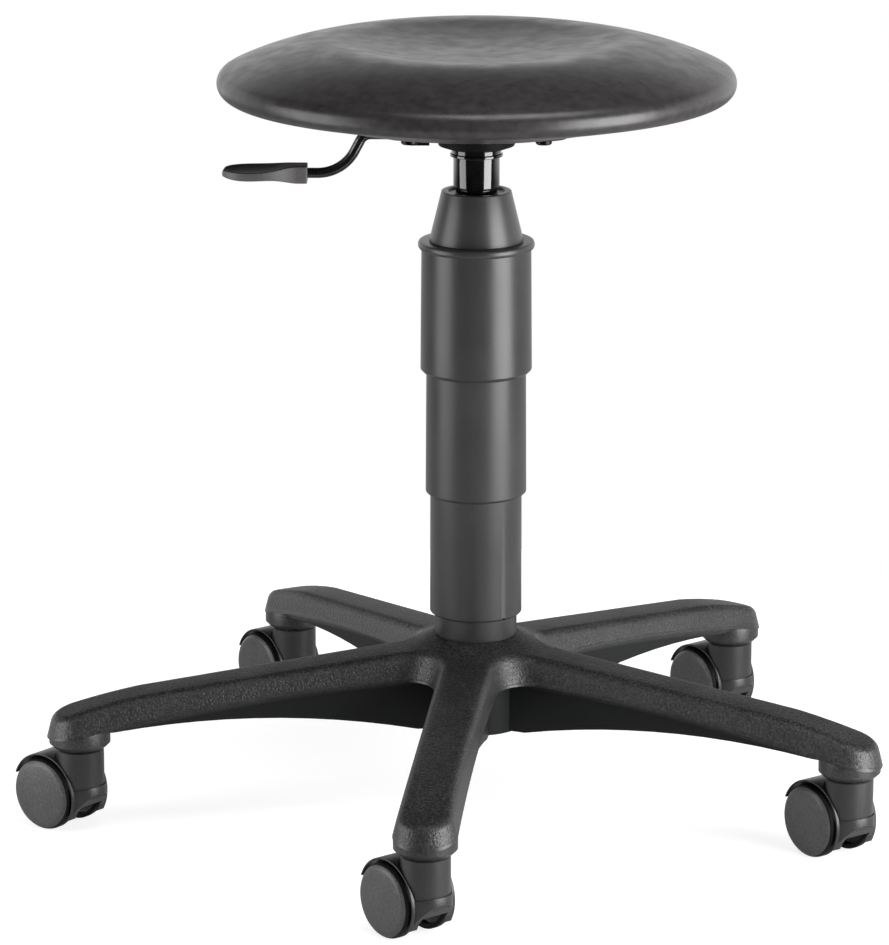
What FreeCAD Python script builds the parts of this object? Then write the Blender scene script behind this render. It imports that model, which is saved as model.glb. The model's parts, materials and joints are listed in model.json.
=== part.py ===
# Swivel stool: a round padded seat on a gas column with a telescoping cover,
# standing on a five-arm base with twin-wheel castors.
# Millimetres and degrees. The origin is on the floor under the column axis,
# +Z is up and the front arm points along -Y.
import FreeCAD, Part
import Sketcher
import math
import os
import re

# Driving dimensions. Each name is the alias of a cell of the sheet.
driving = {
    # five-arm base
    "arm_count": 5,
    "castor_circle": 275.0,          # column axis to castor axis
    "hub_top": 124.6,
    "hub_bottom": 60.0,
    "hub_radius": 34.0,
    "hub_land": 30.0,                # radius of the flat round the column
    "shoulder_reach": 56.0,          # where the hub's sweep meets the arm
    "shoulder_height": 116.5,
    "shoulder_curve": 52.0,
    "arm_bend_setback": 43.0,        # castor axis back to where the straight back starts to dip
    "arm_bend_height": 96.3,
    "arm_tip_overhang": 25.0,        # castor axis on to the tip
    "arm_tip_height": 79.2,
    "arm_dip_curve": 420.0,
    "arm_root_halfwidth": 33.5,      # widths at the level of the hub's lower face
    "arm_tip_halfwidth": 23.8,
    "arm_draft": 14.0,               # degrees
    "web_curve": 24.0,               # sweep from one arm into the next
    "arm_edge_curve": 7.5,
    "skirt_height": 99.4,            # lower edge of the arm's side at the axis
    "skirt_drop": 33.75,             # fall of that edge at the arm's tip
    "keel_halfwidth": 13.0,
    "keel_root_reach": 43.0,
    "keel_root_height": 60.8,
    "keel_tip_setback": 22.0,        # castor axis back to the keel's end
    "keel_tip_height": 70.9,
    "keel_arch_curve": 611.0,
    "base_wall": 4.0,                # moulded walls of the base
    "cell_count": 4,                 # open cells under each arm
    "cell_start": 48.0,
    "socket_radius": 20.85,
    "socket_bottom": 59.7,
    "socket_height": 18.0,
    "socket_collar": 10.0,           # straight part, below the drafted nose
    "socket_chamfer": 2.6,
    # shared allowances
    "overrun": 5.0,                  # how far every cutting solid runs past
    "snug_gap": 0.02,                # pressed and glued pieces
    "running_gap": 0.06,             # shaft in its bore
    "soft_gap": 0.2,                 # foam to what it is moulded round
    "slip_gap": 0.3,                 # moving faces that never touch
    # gas column
    "tube_radius": 14.0,             # pressure tube
    "tube_wall": 1.8,
    "tube_bottom": 192.0,
    "tube_taper_start": 436.0,
    "tube_taper_radius": 13.2,
    "tube_top": 464.0,
    "tube_cap": 8.0,
    "seal_height": 6.0,
    "valve_height": 18.0,
    "valve_floor": 2.5,
    "pin_radius": 4.0,
    "pin_length": 24.0,
    "pin_chamfer": 1.5,
    "rod_radius": 5.0,               # piston rod
    "rod_bottom": 60.8,
    "rod_top": 300.0,
    "piston_height": 12.0,
    "clip_bottom": 62.3,
    "clip_height": 1.5,
    "clip_groove": 0.8,
    "clip_radius": 8.5,
    "outer_radius": 25.0,            # standing tube
    "outer_wall": 1.6,
    "outer_foot_radius": 24.3,
    "outer_foot": 63.8,
    "outer_floor": 3.0,
    "outer_taper": 58.0,             # height of the tapered foot
    "outer_top": 310.0,
    "sleeve_radius": 28.0,           # steel lining of the hub
    "bush_bottom": 232.0,
    "bush_flange": 3.0,
    "bush_flange_radius": 23.9,
    "bearing_radius": 12.0,
    "bearing_washer": 2.0,
    "ball_radius": 2.0,
    "ball_circle": 8.8,
    "ball_count": 9,
    "bumper_radius": 13.0,
    "bumper_height": 15.0,
    # telescoping cover
    "cover_wall": 1.9,
    "lip_height": 3.5,
    "bead_height": 3.0,
    "ring_radius": 28.15,
    "ring_height": 99.4,
    "lower_radius": 31.5,
    "lower_top_radius": 31.15,
    "lower_bottom": 139.5,
    "lower_height": 114.5,
    "lower_lip": 28.45,
    "lower_bead": 0.6,
    "lower_chamfer": 1.2,
    "middle_radius": 34.4,
    "middle_top_radius": 33.7,
    "middle_bottom": 223.9,
    "middle_height": 119.2,
    "middle_lip": 31.65,
    "middle_bead": 1.2,
    "middle_chamfer": 1.7,
    "upper_radius": 37.85,
    "upper_top_radius": 37.15,
    "upper_bottom": 308.8,
    "upper_lip": 34.65,
    "upper_chamfer": 2.5,
    "rim_bottom": 394.4,
    "rim_underside": 38.2,
    "rim_radius": 39.45,
    "rim_waist": 397.4,
    "rim_top_radius": 38.5,
    "rim_curve": 3.4,
    "rim_top": 399.6,
    "rim_shelf": 3.0,
    "rim_shelf_radius": 29.0,
    "cone_radius": 31.9,
    "cone_top_radius": 23.55,
    "cone_top": 433.9,
    "cone_recess_radius": 19.0,
    "cone_recess": 1.5,
    "cone_spigot": 4.5,
    "cone_spigot_wall": 1.95,
    "cone_bore_land": 2.4,
    "notch_width": 2.4,
    "notch_height": 1.8,
    "notch_angle": -46.0,            # degrees from +X
    # seat plate and its socket
    "lever_heading": 6.6,            # degrees that the seat group is turned
    "plate_half": 60.0,
    "plate_corner": 14.0,
    "plate_thickness": 3.0,
    "seat_bottom": 481.5,
    "dish_radius": 30.5,
    "dish_waist": 25.6,
    "dish_waist_height": 465.1,
    "dish_bottom": 463.1,
    "dish_floor_radius": 20.0,
    "dish_sheet": 2.6,
    "dish_flange": 4.0,
    "cup_radius": 15.7,              # conical socket
    "cup_bottom": 436.0,
    "cup_top": 464.6,
    "collar_radius": 17.9,
    "collar_top_radius": 16.8,
    "collar_bottom": 457.6,
    "collar_band": 2.0,
    "screw_count": 4,
    "screw_place": 44.5,
    "screw_radius": 3.0,
    "screw_hole_gap": 0.3,
    "screw_head_radius": 5.5,
    "screw_head_edge": 0.9,
    "screw_head_height": 3.6,
    "washer_radius": 7.0,
    "washer_thickness": 1.3,
    "nut_radius": 4.2,
    "nut_length": 9.0,
    "nut_flange_radius": 9.0,
    "nut_flange": 1.2,
    # seat
    "board_flat_radius": 66.0,
    "board_thickness": 10.0,
    "board_radius": 122.0,
    "board_rise": 11.0,
    "seat_equator": 508.5,
    "seat_flat_radius": 72.0,
    "seat_under_reach": 165.5,
    "seat_under_drop": 9.7,
    "seat_under_curve": 900.0,
    "seat_rim_curve": 9.45,
    "seat_over_reach": 168.5,
    "seat_over_rise": 8.4,
    "seat_crown_curve": 225.0,
    "seat_ridge_reach": 108.0,
    "seat_ridge_rise": 26.2,
    "seat_ridge_curve": 80.0,
    "seat_dish_reach": 84.0,
    "seat_dish_rise": 25.6,
    "seat_centre_rise": 19.0,
    # lever
    "lever_height": 472.0,
    "lever_radius": 3.5,
    "lever_inner_end": 5.0,
    "lever_pivot": 38.0,
    "lever_corner": 75.8,
    "lever_upper_bend": 8.0,
    "lever_lower_corner": 89.8,
    "lever_lower_height": 445.6,
    "lever_lower_bend": 28.0,
    "lever_end": 132.0,
    "trunnion_radius": 2.5,
    "trunnion_reach": 10.0,
    "bush_length": 11.0,
    "bush_halfwidth": 6.0,
    "bush_halfheight": 5.5,
    "ear_length": 13.0,
    "ear_inside": 7.0,
    "ear_thickness": 2.5,
    "ear_drop": 12.5,
    "slot_halfwidth": 4.6,
    "slot_halfheight": 4.9,
    "grip_root": 109.0,
    "grip_waist": 122.0,
    "grip_belly": 148.0,
    "grip_tip": 171.0,
    "grip_root_halfwidth": 8.5,
    "grip_belly_halfwidth": 15.5,
    "grip_top": 451.3,
    "grip_root_bottom": 439.5,
    "grip_tip_bottom": 445.0,
    "grip_dish_depth": 1.6,
    "grip_dish_curve": 60.0,
    "grip_dish_over": 1.0,
    "grip_tip_curve": 21.0,
    "grip_waist_curve": 8.0,
    "grip_under_curve": 90.0,
    # castors
    "castor_trail": 19.3,
    "wheel_radius": 25.0,
    "wheel_reach": 22.2,             # crown of the wheel's outer face
    "wheel_face_reach": 21.4,
    "wheel_face_radius": 20.0,
    "wheel_shoulder": 16.0,
    "wheel_shoulder_curve": 5.5,
    "wheel_inner_face": 12.0,
    "wheel_rim": 3.0,
    "wheel_disc_face": 17.5,
    "wheel_hub_radius": 7.2,
    "wheel_hub_face": 5.3,
    "axle_radius": 4.0,
    "axle_half": 18.0,
    "axle_end_gap": 0.3,
    "hood_radius": 28.0,
    "hood_wall": 1.7,
    "hood_half": 17.4,
    "hood_front_angle": 25.0,        # degrees below the axle, neck side
    "hood_rear_angle": 22.0,         # degrees above the axle, far side
    "web_half": 3.0,
    "axle_boss_radius": 8.5,
    "axle_boss_half": 5.0,
    "neck_radius": 16.3,
    "neck_top": 58.2,
    "neck_edge": 0.8,
    "apron_reach": 35.9,
    "apron_curve": 17.9,
    "apron_angle": 46.0,
    "stem_radius": 5.5,
    "stem_bottom": 38.0,
    "stem_top": 80.0,
    "stem_boss_radius": 8.2,
    "stem_boss_bottom": 34.0,
    "hood_edge": 0.8,
    "stem_collar_radius": 9.5,
    "stem_collar": 1.0,
    "ring_groove": 0.9,
    "ring_low": 74.0,
    "ring_width": 3.0,
    "liner_radius": 7.5,
    "liner_length": 21.3,
    "castor_heading_1": -44.4,       # degrees, from the front arm to the right
    "castor_heading_2": -46.4,
    "castor_heading_3": -44.0,
    "castor_heading_4": -44.0,
    "castor_heading_5": -32.4,
}

document = FreeCAD.newDocument("swivel_stool")
sheet = document.addObject("Spreadsheet::Sheet", "Sizes")
for row, (alias, amount) in enumerate(driving.items(), start=1):
    sheet.set(f"A{row}", alias)
    sheet.set(f"B{row}", str(amount))
    sheet.setAlias(f"B{row}", alias)
document.recompute()


def linked(words):
    """Turn the plain words of a sum into an expression on the sheet's cells."""
    return re.sub(r"[a-z_]\w*", lambda found: f"Sizes.{found[0]}" if found[0] in driving else found[0], words)


def number(words):
    """The present value of a sum of sizes."""
    return float(sheet.evalExpression(linked(words)))


def bind(thing, prop, words):
    thing.setExpression(prop, linked(words))


def new_body(name):
    return document.addObject("PartDesign::Body", name)


def new_sketch(body, name, plane, lift=None):
    """A sketch on one of the body's own origin planes, lifted along its normal."""
    sketch = body.newObject("Sketcher::SketchObject", name)
    origin_plane = [part for part in body.Origin.OriginFeatures if part.Role == plane][0]
    sketch.AttachmentSupport = [(origin_plane, "")]
    sketch.MapMode = "FlatFace"
    if lift:
        bind(sketch, "AttachmentOffset.Base.z", lift)
    return sketch


def pin_point(sketch, geometry, end, across, up):
    """Hold one end of a sketch line or arc at a place given by two sums."""
    for kind, words, axis in (("DistanceX", across, -2), ("DistanceY", up, -1)):
        if words == "0":
            sketch.addConstraint(Sketcher.Constraint("PointOnObject", geometry, end, axis))
        else:
            held = sketch.addConstraint(Sketcher.Constraint(kind, -1, 1, geometry, end, number(words)))
            bind(sketch, f"Constraints[{held}]", words)


def draw(sketch, corners):
    """A closed outline. A corner is (across, up), or (across, up, radius, side)
    where the edge that leaves it is an arc whose centre lies to that side."""
    places = [FreeCAD.Vector(number(corner[0]), number(corner[1]), 0) for corner in corners]
    starts = []
    first = sketch.GeometryCount
    for index, corner in enumerate(corners):
        here = places[index]
        there = places[(index + 1) % len(corners)]
        if len(corner) == 2:
            sketch.addGeometry(Part.LineSegment(here, there), False)
            starts.append((1, 2))
            continue
        radius = number(corner[2])
        chord = there - here
        left = FreeCAD.Vector(-chord.y, chord.x, 0).normalize()
        rise = math.sqrt(radius ** 2 - (chord.Length / 2) ** 2)
        centre = here + chord / 2 + left * (rise if corner[3] == "left" else -rise)
        turn = [math.atan2(end.y - centre.y, end.x - centre.x) for end in (here, there)]
        if corner[3] == "right":
            turn.reverse()
        circle = Part.Circle(centre, FreeCAD.Vector(0, 0, 1), radius)
        sketch.addGeometry(Part.ArcOfCircle(circle, turn[0], turn[1]), False)
        starts.append((1, 2) if corner[3] == "left" else (2, 1))
    for index, corner in enumerate(corners):
        after = (index + 1) % len(corners)
        sketch.addConstraint(Sketcher.Constraint("Coincident", first + index, starts[index][1],
                                                 first + after, starts[after][0]))
        pin_point(sketch, first + index, starts[index][0], corner[0], corner[1])
        if len(corner) > 2:
            held = sketch.addConstraint(Sketcher.Constraint("Radius", first + index, number(corner[2])))
            bind(sketch, f"Constraints[{held}]", corner[2])


def draw_circle(sketch, across, up, radius):
    geometry = sketch.addGeometry(
        Part.Circle(FreeCAD.Vector(number(across), number(up), 0), FreeCAD.Vector(0, 0, 1), number(radius)), False)
    pin_point(sketch, geometry, 3, across, up)
    held = sketch.addConstraint(Sketcher.Constraint("Radius", geometry, number(radius)))
    bind(sketch, f"Constraints[{held}]", radius)


def extrude(body, kind, name, sketch, length, midplane=False, backward=False):
    feature = body.newObject(kind, name)
    feature.Profile = sketch
    bind(feature, "Length", length)
    feature.Midplane = midplane
    feature.Reversed = backward
    document.recompute()
    return feature


def upright_axis(sketch, across, length):
    """A construction line in a sketch, to turn an outline round."""
    start = FreeCAD.Vector(number(across), 0, 0)
    end = FreeCAD.Vector(number(across), number(length), 0)
    line = sketch.addGeometry(Part.LineSegment(start, end), True)
    pin_point(sketch, line, 1, across, "0")
    pin_point(sketch, line, 2, across, length)


def spin(body, kind, name, sketch, axis="V_Axis", angles=None):
    """Turn an outline round an axis of its sketch, all the way or between two angles."""
    feature = body.newObject(kind, name)
    feature.Profile = sketch
    feature.ReferenceAxis = (sketch, [axis])
    if angles:
        feature.Type = "TwoAngles"
        bind(feature, "Angle", angles[0])
        bind(feature, "Angle2", angles[1])
    else:
        feature.Angle = 360
    document.recompute()
    return feature


def repeat_round(body, name, originals, count="arm_count"):
    """Repeat features evenly about the body's own Z axis."""
    pattern = body.newObject("PartDesign::PolarPattern", name)
    pattern.Originals = originals
    pattern.Axis = ([item for item in body.Origin.OriginFeatures if item.Role == "Z_Axis"][0], [""])
    pattern.Angle = 360
    bind(pattern, "Occurrences", count)
    body.Tip = pattern
    document.recompute()
    return pattern


def cap_curve(reach, rise):
    """Radius of a round cap centred on the axis."""
    return f"(({reach}) ^ 2 + ({rise}) ^ 2) / (2 * ({rise}))"


def turned(name, corners):
    """A body turned round its own Z axis from one outline."""
    body = new_body(name)
    sketch = new_sketch(body, f"{name}_outline", "XZ_Plane")
    draw(sketch, corners)
    spin(body, "PartDesign::Revolution", f"{name}_turning", sketch)
    return body


def ring(name, inner, outer, bottom, height):
    return turned(name, [(inner, bottom), (outer, bottom), (outer, f"{bottom} + {height}"),
                         (inner, f"{bottom} + {height}")])


def disc_tool(body, kind, name, across, up, radius, start, length, backward=False):
    """A round pad or pocket along Z, starting at a height."""
    sketch = new_sketch(body, f"{name}_circle", "XY_Plane", start)
    draw_circle(sketch, across, up, radius)
    return extrude(body, kind, name, sketch, length, backward=backward)


def edges_where(shape, test):
    """Names of the edges whose middle point passes the test."""
    names = []
    for index, edge in enumerate(shape.Edges, start=1):
        middle = edge.valueAt((edge.FirstParameter + edge.LastParameter) / 2)
        if test(edge, middle):
            names.append(f"Edge{index}")
    return names


def turn_body(body, heading, forward="0", upward="0", reach="0", bearing="0"):
    """Set a body down at a reach and bearing from the column, then a step
    forward along its own heading. Bearings are from the front arm."""
    body.Placement = FreeCAD.Placement(FreeCAD.Vector(0, 0, 0), FreeCAD.Rotation(FreeCAD.Vector(0, 0, 1), 30))
    bind(body, "Placement.Rotation.Angle", heading)
    bind(body, "Placement.Base.x", f"({reach}) * sin({bearing}) + ({forward}) * cos({heading})")
    bind(body, "Placement.Base.y", f"({forward}) * sin({heading}) - ({reach}) * cos({bearing})")
    bind(body, "Placement.Base.z", upward)
    document.recompute()


# Five-arm base, moulded in glass-filled nylon
def make_base():
    body = new_body("base_star")
    arm_tip = "(castor_circle + arm_tip_overhang)"
    arm_bend = "(castor_circle - arm_bend_setback)"
    keel_tip = "(castor_circle - keel_tip_setback)"
    back_slope = f"(shoulder_height - arm_bend_height) / ({arm_bend} - shoulder_reach)"
    cell_length = f"(({arm_bend} - cell_start - (cell_count - 1) * base_wall) / cell_count)"
    # the root end leans with the draft, so it starts past the axis
    rear = "(hub_top - hub_bottom + overrun) * tan(arm_draft)"
    plan = new_sketch(body, "arm_plan", "XY_Plane", "hub_bottom")
    draw(plan, [
        ("-arm_tip_halfwidth", "-castor_circle", "arm_tip_halfwidth", "left"),
        ("0", "-castor_circle - arm_tip_halfwidth", "arm_tip_halfwidth", "left"),
        ("arm_tip_halfwidth", "-castor_circle"),
        ("arm_root_halfwidth", rear),
        ("-arm_root_halfwidth", rear),
    ])
    arm = extrude(body, "PartDesign::Pad", "arm", plan, "hub_top - hub_bottom + overrun")
    bind(arm, "TaperAngle", "-arm_draft")
    document.recompute()
    star = repeat_round(body, "arms", [arm])
    # the sweep from each arm into the next
    reach = number("arm_root_halfwidth") * 2
    webs = edges_where(star.Shape, lambda edge, middle: math.hypot(middle.x, middle.y) < reach
                       and abs(edge.tangentAt(edge.FirstParameter).z) > 0.5)
    sweep = body.newObject("PartDesign::Fillet", "arm_sweeps")
    sweep.Base = (star, webs)
    bind(sweep, "Radius", "web_curve")
    document.recompute()
    # the back of the arms, falling from the hub to the tips
    back = new_sketch(body, "back_profile", "XZ_Plane")
    draw(back, [
        ("0", "hub_top"),
        ("hub_land", "hub_top", "shoulder_curve", "left"),
        ("shoulder_reach", "shoulder_height"),
        (arm_bend, "arm_bend_height", "arm_dip_curve", "right"),
        (arm_tip, "arm_tip_height"),
        (f"{arm_tip} + overrun", "arm_tip_height"),
        (f"{arm_tip} + overrun", "hub_top + 2 * overrun"),
        ("0", "hub_top + 2 * overrun"),
    ])
    crown = spin(body, "PartDesign::Groove", "back_cut", back)

    def upper_edge(edge, middle):
        """An outer edge between the back of an arm and its side."""
        if math.hypot(middle.x, middle.y) < number("hub_land + overrun") or middle.z < number("skirt_height - skirt_drop"):
            return False
        faces = crown.Shape.ancestorsOfType(edge, Part.Face)
        if len(faces) < 2:
            return False
        normals = [face.normalAt(*face.Surface.parameter(middle)) for face in faces]
        slopes = sorted(abs(normal.z) for normal in normals)
        bend = math.degrees(normals[0].getAngle(normals[1]))
        return bend > 25 and slopes[1] > 0.85 and slopes[0] < 0.6

    # the rounding runs on round the whole star from one edge at the front arm's tip
    tip = FreeCAD.Vector(number("arm_tip_halfwidth"), -number("castor_circle + arm_tip_halfwidth"), number("arm_tip_height"))
    start = min(edges_where(crown.Shape, upper_edge),
                key=lambda name: crown.Shape.getElement(name).CenterOfMass.distanceToPoint(tip))
    rounding = body.newObject("PartDesign::Fillet", "back_edges")
    rounding.Base = (crown, [start])
    bind(rounding, "Radius", "arm_edge_curve")
    document.recompute()
    # the lower edge of the arms' sides: an arc over the whole star
    skirt = new_sketch(body, "skirt_profile", "XZ_Plane")
    fall_curve = f"({arm_tip} ^ 2 + skirt_drop ^ 2) / (2 * skirt_drop)"
    draw(skirt, [
        ("0", "hub_bottom - overrun"),
        (arm_tip, "hub_bottom - overrun"),
        (arm_tip, "skirt_height - skirt_drop", fall_curve, "left"),
        ("0", "skirt_height"),
    ])
    spin(body, "PartDesign::Groove", "skirt_cut", skirt)
    # the keel under each arm
    keel_side = new_sketch(body, "keel_profile", "YZ_Plane")
    draw(keel_side, [
        ("-keel_root_reach", "keel_root_height", "keel_arch_curve", "left"),
        (f"-{keel_tip}", "keel_tip_height"),
        ("-castor_circle + socket_radius / 2", "keel_tip_height"),
        ("-castor_circle + socket_radius / 2", "keel_tip_height + base_wall * 2"),
        ("-hub_radius / 2", "skirt_height + base_wall"),
        ("-hub_radius / 2", "keel_root_height"),
    ])
    keel = extrude(body, "PartDesign::Pad", "keel", keel_side, "2 * keel_halfwidth", midplane=True)
    socket_side = new_sketch(body, "socket_profile", "YZ_Plane")
    draw(socket_side, [
        ("-castor_circle", "socket_bottom"),
        ("-castor_circle - socket_radius + socket_chamfer", "socket_bottom"),
        ("-castor_circle - socket_radius", "socket_bottom + socket_chamfer"),
        ("-castor_circle - socket_radius", "socket_bottom + socket_collar"),
        ("-castor_circle - socket_radius + (socket_height - socket_collar) * tan(arm_draft)", "socket_bottom + socket_height"),
        ("-castor_circle", "socket_bottom + socket_height"),
    ])
    upright_axis(socket_side, "-castor_circle", "socket_bottom")
    socket = spin(body, "PartDesign::Revolution", "socket", socket_side, "Axis0")
    repeat_round(body, "keels", [keel, socket])
    disc_tool(body, "PartDesign::Pad", "hub", "0", "0", "hub_radius", "hub_bottom", "hub_top - hub_bottom - overrun")
    disc_tool(body, "PartDesign::Pocket", "hub_bore", "0", "0", "sleeve_radius + snug_gap", "hub_bottom - overrun",
              "hub_top - hub_bottom + 2 * overrun", backward=True)
    bore = disc_tool(body, "PartDesign::Pocket", "castor_bore", "0", "-castor_circle", "liner_radius + snug_gap",
                     "socket_bottom", "liner_length + snug_gap", backward=True)
    repeat_round(body, "castor_bores", [bore])
    # open cells in the keels, with a cross rib between each two
    cells = []
    for index in range(int(number("cell_count"))):
        start = f"cell_start + {index} * ({cell_length} + base_wall)"
        finish = f"{start} + {cell_length}"
        ceiling = f"shoulder_height - base_wall - ({finish} - shoulder_reach) * {back_slope}"
        plan = new_sketch(body, f"cell_{index}_plan", "XY_Plane", "hub_bottom")
        draw(plan, [
            ("-keel_halfwidth + base_wall", f"-({finish})"),
            ("keel_halfwidth - base_wall", f"-({finish})"),
            ("keel_halfwidth - base_wall", f"-({start})"),
            ("-keel_halfwidth + base_wall", f"-({start})"),
        ])
        cells.append(extrude(body, "PartDesign::Pocket", f"cell_{index}", plan, f"{ceiling} - hub_bottom", backward=True))
    repeat_round(body, "cells", cells)
    return body


made = []


def keep(body):
    made.append(body)
    return body


keep(make_base())

# Steel lining of the hub, with the taper that grips the standing tube
taper_top = "outer_foot + outer_taper"
keep(turned("hub_sleeve", [
    ("outer_foot_radius + snug_gap", "hub_bottom"),
    ("sleeve_radius", "hub_bottom"),
    ("sleeve_radius", "hub_top"),
    ("outer_radius + snug_gap", "hub_top"),
    ("outer_radius + snug_gap", taper_top),
    ("outer_foot_radius + snug_gap", "outer_foot"),
]))

# Standing tube of the gas column, with its closed foot
keep(turned("outer_tube", [
    ("rod_radius + snug_gap", "outer_foot"),
    ("outer_foot_radius", "outer_foot"),
    ("outer_radius", taper_top),
    ("outer_radius", "outer_top"),
    ("outer_radius - outer_wall", "outer_top"),
    ("outer_radius - outer_wall", taper_top),
    ("outer_foot_radius - outer_wall", "outer_foot + outer_floor"),
    ("rod_radius + snug_gap", "outer_foot + outer_floor"),
]))

# Plastic bush that guides the pressure tube
keep(turned("guide_bush", [
    ("tube_radius + running_gap", "bush_bottom"),
    ("outer_radius - outer_wall - snug_gap", "bush_bottom"),
    ("outer_radius - outer_wall - snug_gap", "outer_top"),
    ("bush_flange_radius", "outer_top"),
    ("bush_flange_radius", "outer_top + bush_flange"),
    ("tube_radius + running_gap", "outer_top + bush_flange"),
]))

# Piston rod, grooved at its foot for the clip
keep(turned("piston_rod", [
    ("0", "rod_bottom"),
    ("rod_radius", "rod_bottom"),
    ("rod_radius", "clip_bottom"),
    ("rod_radius - clip_groove", "clip_bottom"),
    ("rod_radius - clip_groove", "clip_bottom + clip_height"),
    ("rod_radius", "clip_bottom + clip_height"),
    ("rod_radius", "rod_top"),
    ("0", "rod_top"),
]))
keep(ring("piston", "rod_radius + snug_gap", "tube_radius - tube_wall - running_gap", "rod_top - piston_height",
          "piston_height"))


def make_clip():
    body = ring("retaining_clip", "rod_radius - clip_groove + snug_gap", "clip_radius", "clip_bottom", "clip_height")
    gap = new_sketch(body, "clip_gap", "XY_Plane", "clip_bottom")
    draw(gap, [("0", "-rod_radius / 2"), ("clip_radius + overrun", "-rod_radius / 2"),
               ("clip_radius + overrun", "rod_radius / 2"), ("0", "rod_radius / 2")])
    extrude(body, "PartDesign::Pocket", "clip_opening", gap, "clip_height", backward=True)
    return body


keep(make_clip())

# Ball bearing on the foot of the standing tube: two washers and their balls
bearing_floor = "outer_foot + outer_floor"


def group(name, bodies):
    """Equal separate pieces kept as one node."""
    compound = document.addObject("Part::Compound", name)
    compound.Links = bodies
    document.recompute()
    return compound


washers = []
for place, floor in (("lower", bearing_floor), ("upper", f"{bearing_floor} + bearing_washer + 2 * ball_radius")):
    washers.append(ring(f"bearing_washer_{place}", "rod_radius + snug_gap", "bearing_radius", floor, "bearing_washer"))
keep(group("bearing_washers", washers))
balls = []
for index in range(int(number("ball_count"))):
    ball = document.addObject("Part::Sphere", f"bearing_ball_{index}")
    bind(ball, "Radius", "ball_radius")
    bind(ball, "Placement.Base.x", f"ball_circle * cos(360 / ball_count * {index})")
    bind(ball, "Placement.Base.y", f"ball_circle * sin(360 / ball_count * {index})")
    bind(ball, "Placement.Base.z", f"{bearing_floor} + bearing_washer + ball_radius")
    balls.append(ball)
keep(group("bearing_balls", balls))
keep(ring("rubber_bumper", "rod_radius + snug_gap", "bumper_radius",
          f"{bearing_floor} + 2 * bearing_washer + 2 * ball_radius", "bumper_height"))

# Telescoping cover: a fixed ring and three sections that slide over each other
keep(ring("cover_base_ring", "outer_radius + running_gap", "ring_radius", "hub_top", "ring_height"))


def make_section(name, radius, top_radius, bottom, height, lip, bead, chamfer):
    """A sleeve with an inward lip at its foot and a bead round its top."""
    return turned(name, [
        (lip, bottom),
        (f"{radius} - {chamfer}", bottom),
        (radius, f"{bottom} + {chamfer}"),
        (top_radius, f"{bottom} + {height} - bead_height"),
        (f"{top_radius} + {bead}", f"{bottom} + {height} - bead_height"),
        (f"{top_radius} + {bead}", f"{bottom} + {height}"),
        (f"{top_radius} - cover_wall", f"{bottom} + {height}"),
        (f"{radius} - cover_wall", f"{bottom} + lip_height"),
        (lip, f"{bottom} + lip_height"),
    ])


lower = keep(make_section("cover_lower_section", "lower_radius", "lower_top_radius", "lower_bottom", "lower_height",
                          "lower_lip", "lower_bead", "lower_chamfer"))
notch = new_sketch(lower, "notch_outline", "YZ_Plane")
draw(notch, [("-notch_width / 2", "lower_bottom - overrun"), ("notch_width / 2", "lower_bottom - overrun"),
             ("notch_width / 2", "lower_bottom + notch_height"), ("-notch_width / 2", "lower_bottom + notch_height")])
extrude(lower, "PartDesign::Pocket", "notch", notch, "lower_radius + overrun", backward=True)
turn_body(lower, "notch_angle")

keep(make_section("cover_middle_section", "middle_radius", "middle_top_radius", "middle_bottom", "middle_height",
                  "middle_lip", "middle_bead", "middle_chamfer"))
keep(turned("cover_top_section", [
    ("upper_lip", "upper_bottom"),
    ("upper_radius - upper_chamfer", "upper_bottom"),
    ("upper_radius", "upper_bottom + upper_chamfer"),
    ("upper_top_radius", "rim_bottom"),
    ("rim_underside", "rim_bottom", "rim_curve", "left"),
    ("rim_radius", "rim_waist", "rim_curve", "left"),
    ("rim_top_radius", "rim_top"),
    ("rim_shelf_radius", "rim_top"),
    ("rim_shelf_radius", "rim_top - rim_shelf"),
    ("upper_top_radius - cover_wall", "rim_top - rim_shelf"),
    ("upper_radius - cover_wall", "upper_bottom + lip_height"),
    ("upper_lip", "upper_bottom + lip_height"),
]))
cone_inner = "rim_shelf_radius - cone_spigot_wall"
keep(turned("cover_cone", [
    (cone_inner, "rim_top - cone_spigot"),
    ("rim_shelf_radius - snug_gap", "rim_top - cone_spigot"),
    ("rim_shelf_radius - snug_gap", "rim_top"),
    ("cone_radius", "rim_top"),
    ("cone_top_radius", "cone_top"),
    ("cone_recess_radius", "cone_top"),
    ("cone_recess_radius", "cone_top - cone_recess"),
    ("tube_radius + running_gap", "cone_top - cone_recess"),
    ("tube_radius + running_gap", "cone_top - cone_recess - cone_bore_land"),
    ("cone_top_radius - cover_wall", "cone_top - cone_recess - cone_bore_land"),
    ("cone_radius - cover_wall", "rim_top + cone_recess"),
    (cone_inner, "rim_top"),
]))

# Pressure tube of the gas column, closed at the head but for the release pin
keep(turned("pressure_tube", [
    ("tube_radius - tube_wall", "tube_bottom"),
    ("tube_radius", "tube_bottom"),
    ("tube_radius", "tube_taper_start"),
    ("tube_taper_radius", "tube_top"),
    ("pin_radius + running_gap", "tube_top"),
    ("pin_radius + running_gap", "tube_top - tube_cap"),
    ("tube_radius - tube_wall", "tube_top - tube_cap"),
]))
keep(ring("tube_seal", "rod_radius + running_gap", "tube_radius - tube_wall - snug_gap", "tube_bottom", "seal_height"))
valve_top = "tube_top - tube_cap"
keep(turned("valve_block", [
    ("0", f"{valve_top} - valve_height"),
    ("tube_radius - tube_wall - snug_gap", f"{valve_top} - valve_height"),
    ("tube_radius - tube_wall - snug_gap", valve_top),
    ("pin_radius + running_gap", valve_top),
    ("pin_radius + running_gap", f"{valve_top} - valve_height + valve_floor"),
    ("0", f"{valve_top} - valve_height + valve_floor"),
]))
pin_top = "lever_height - lever_radius - slip_gap"
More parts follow.
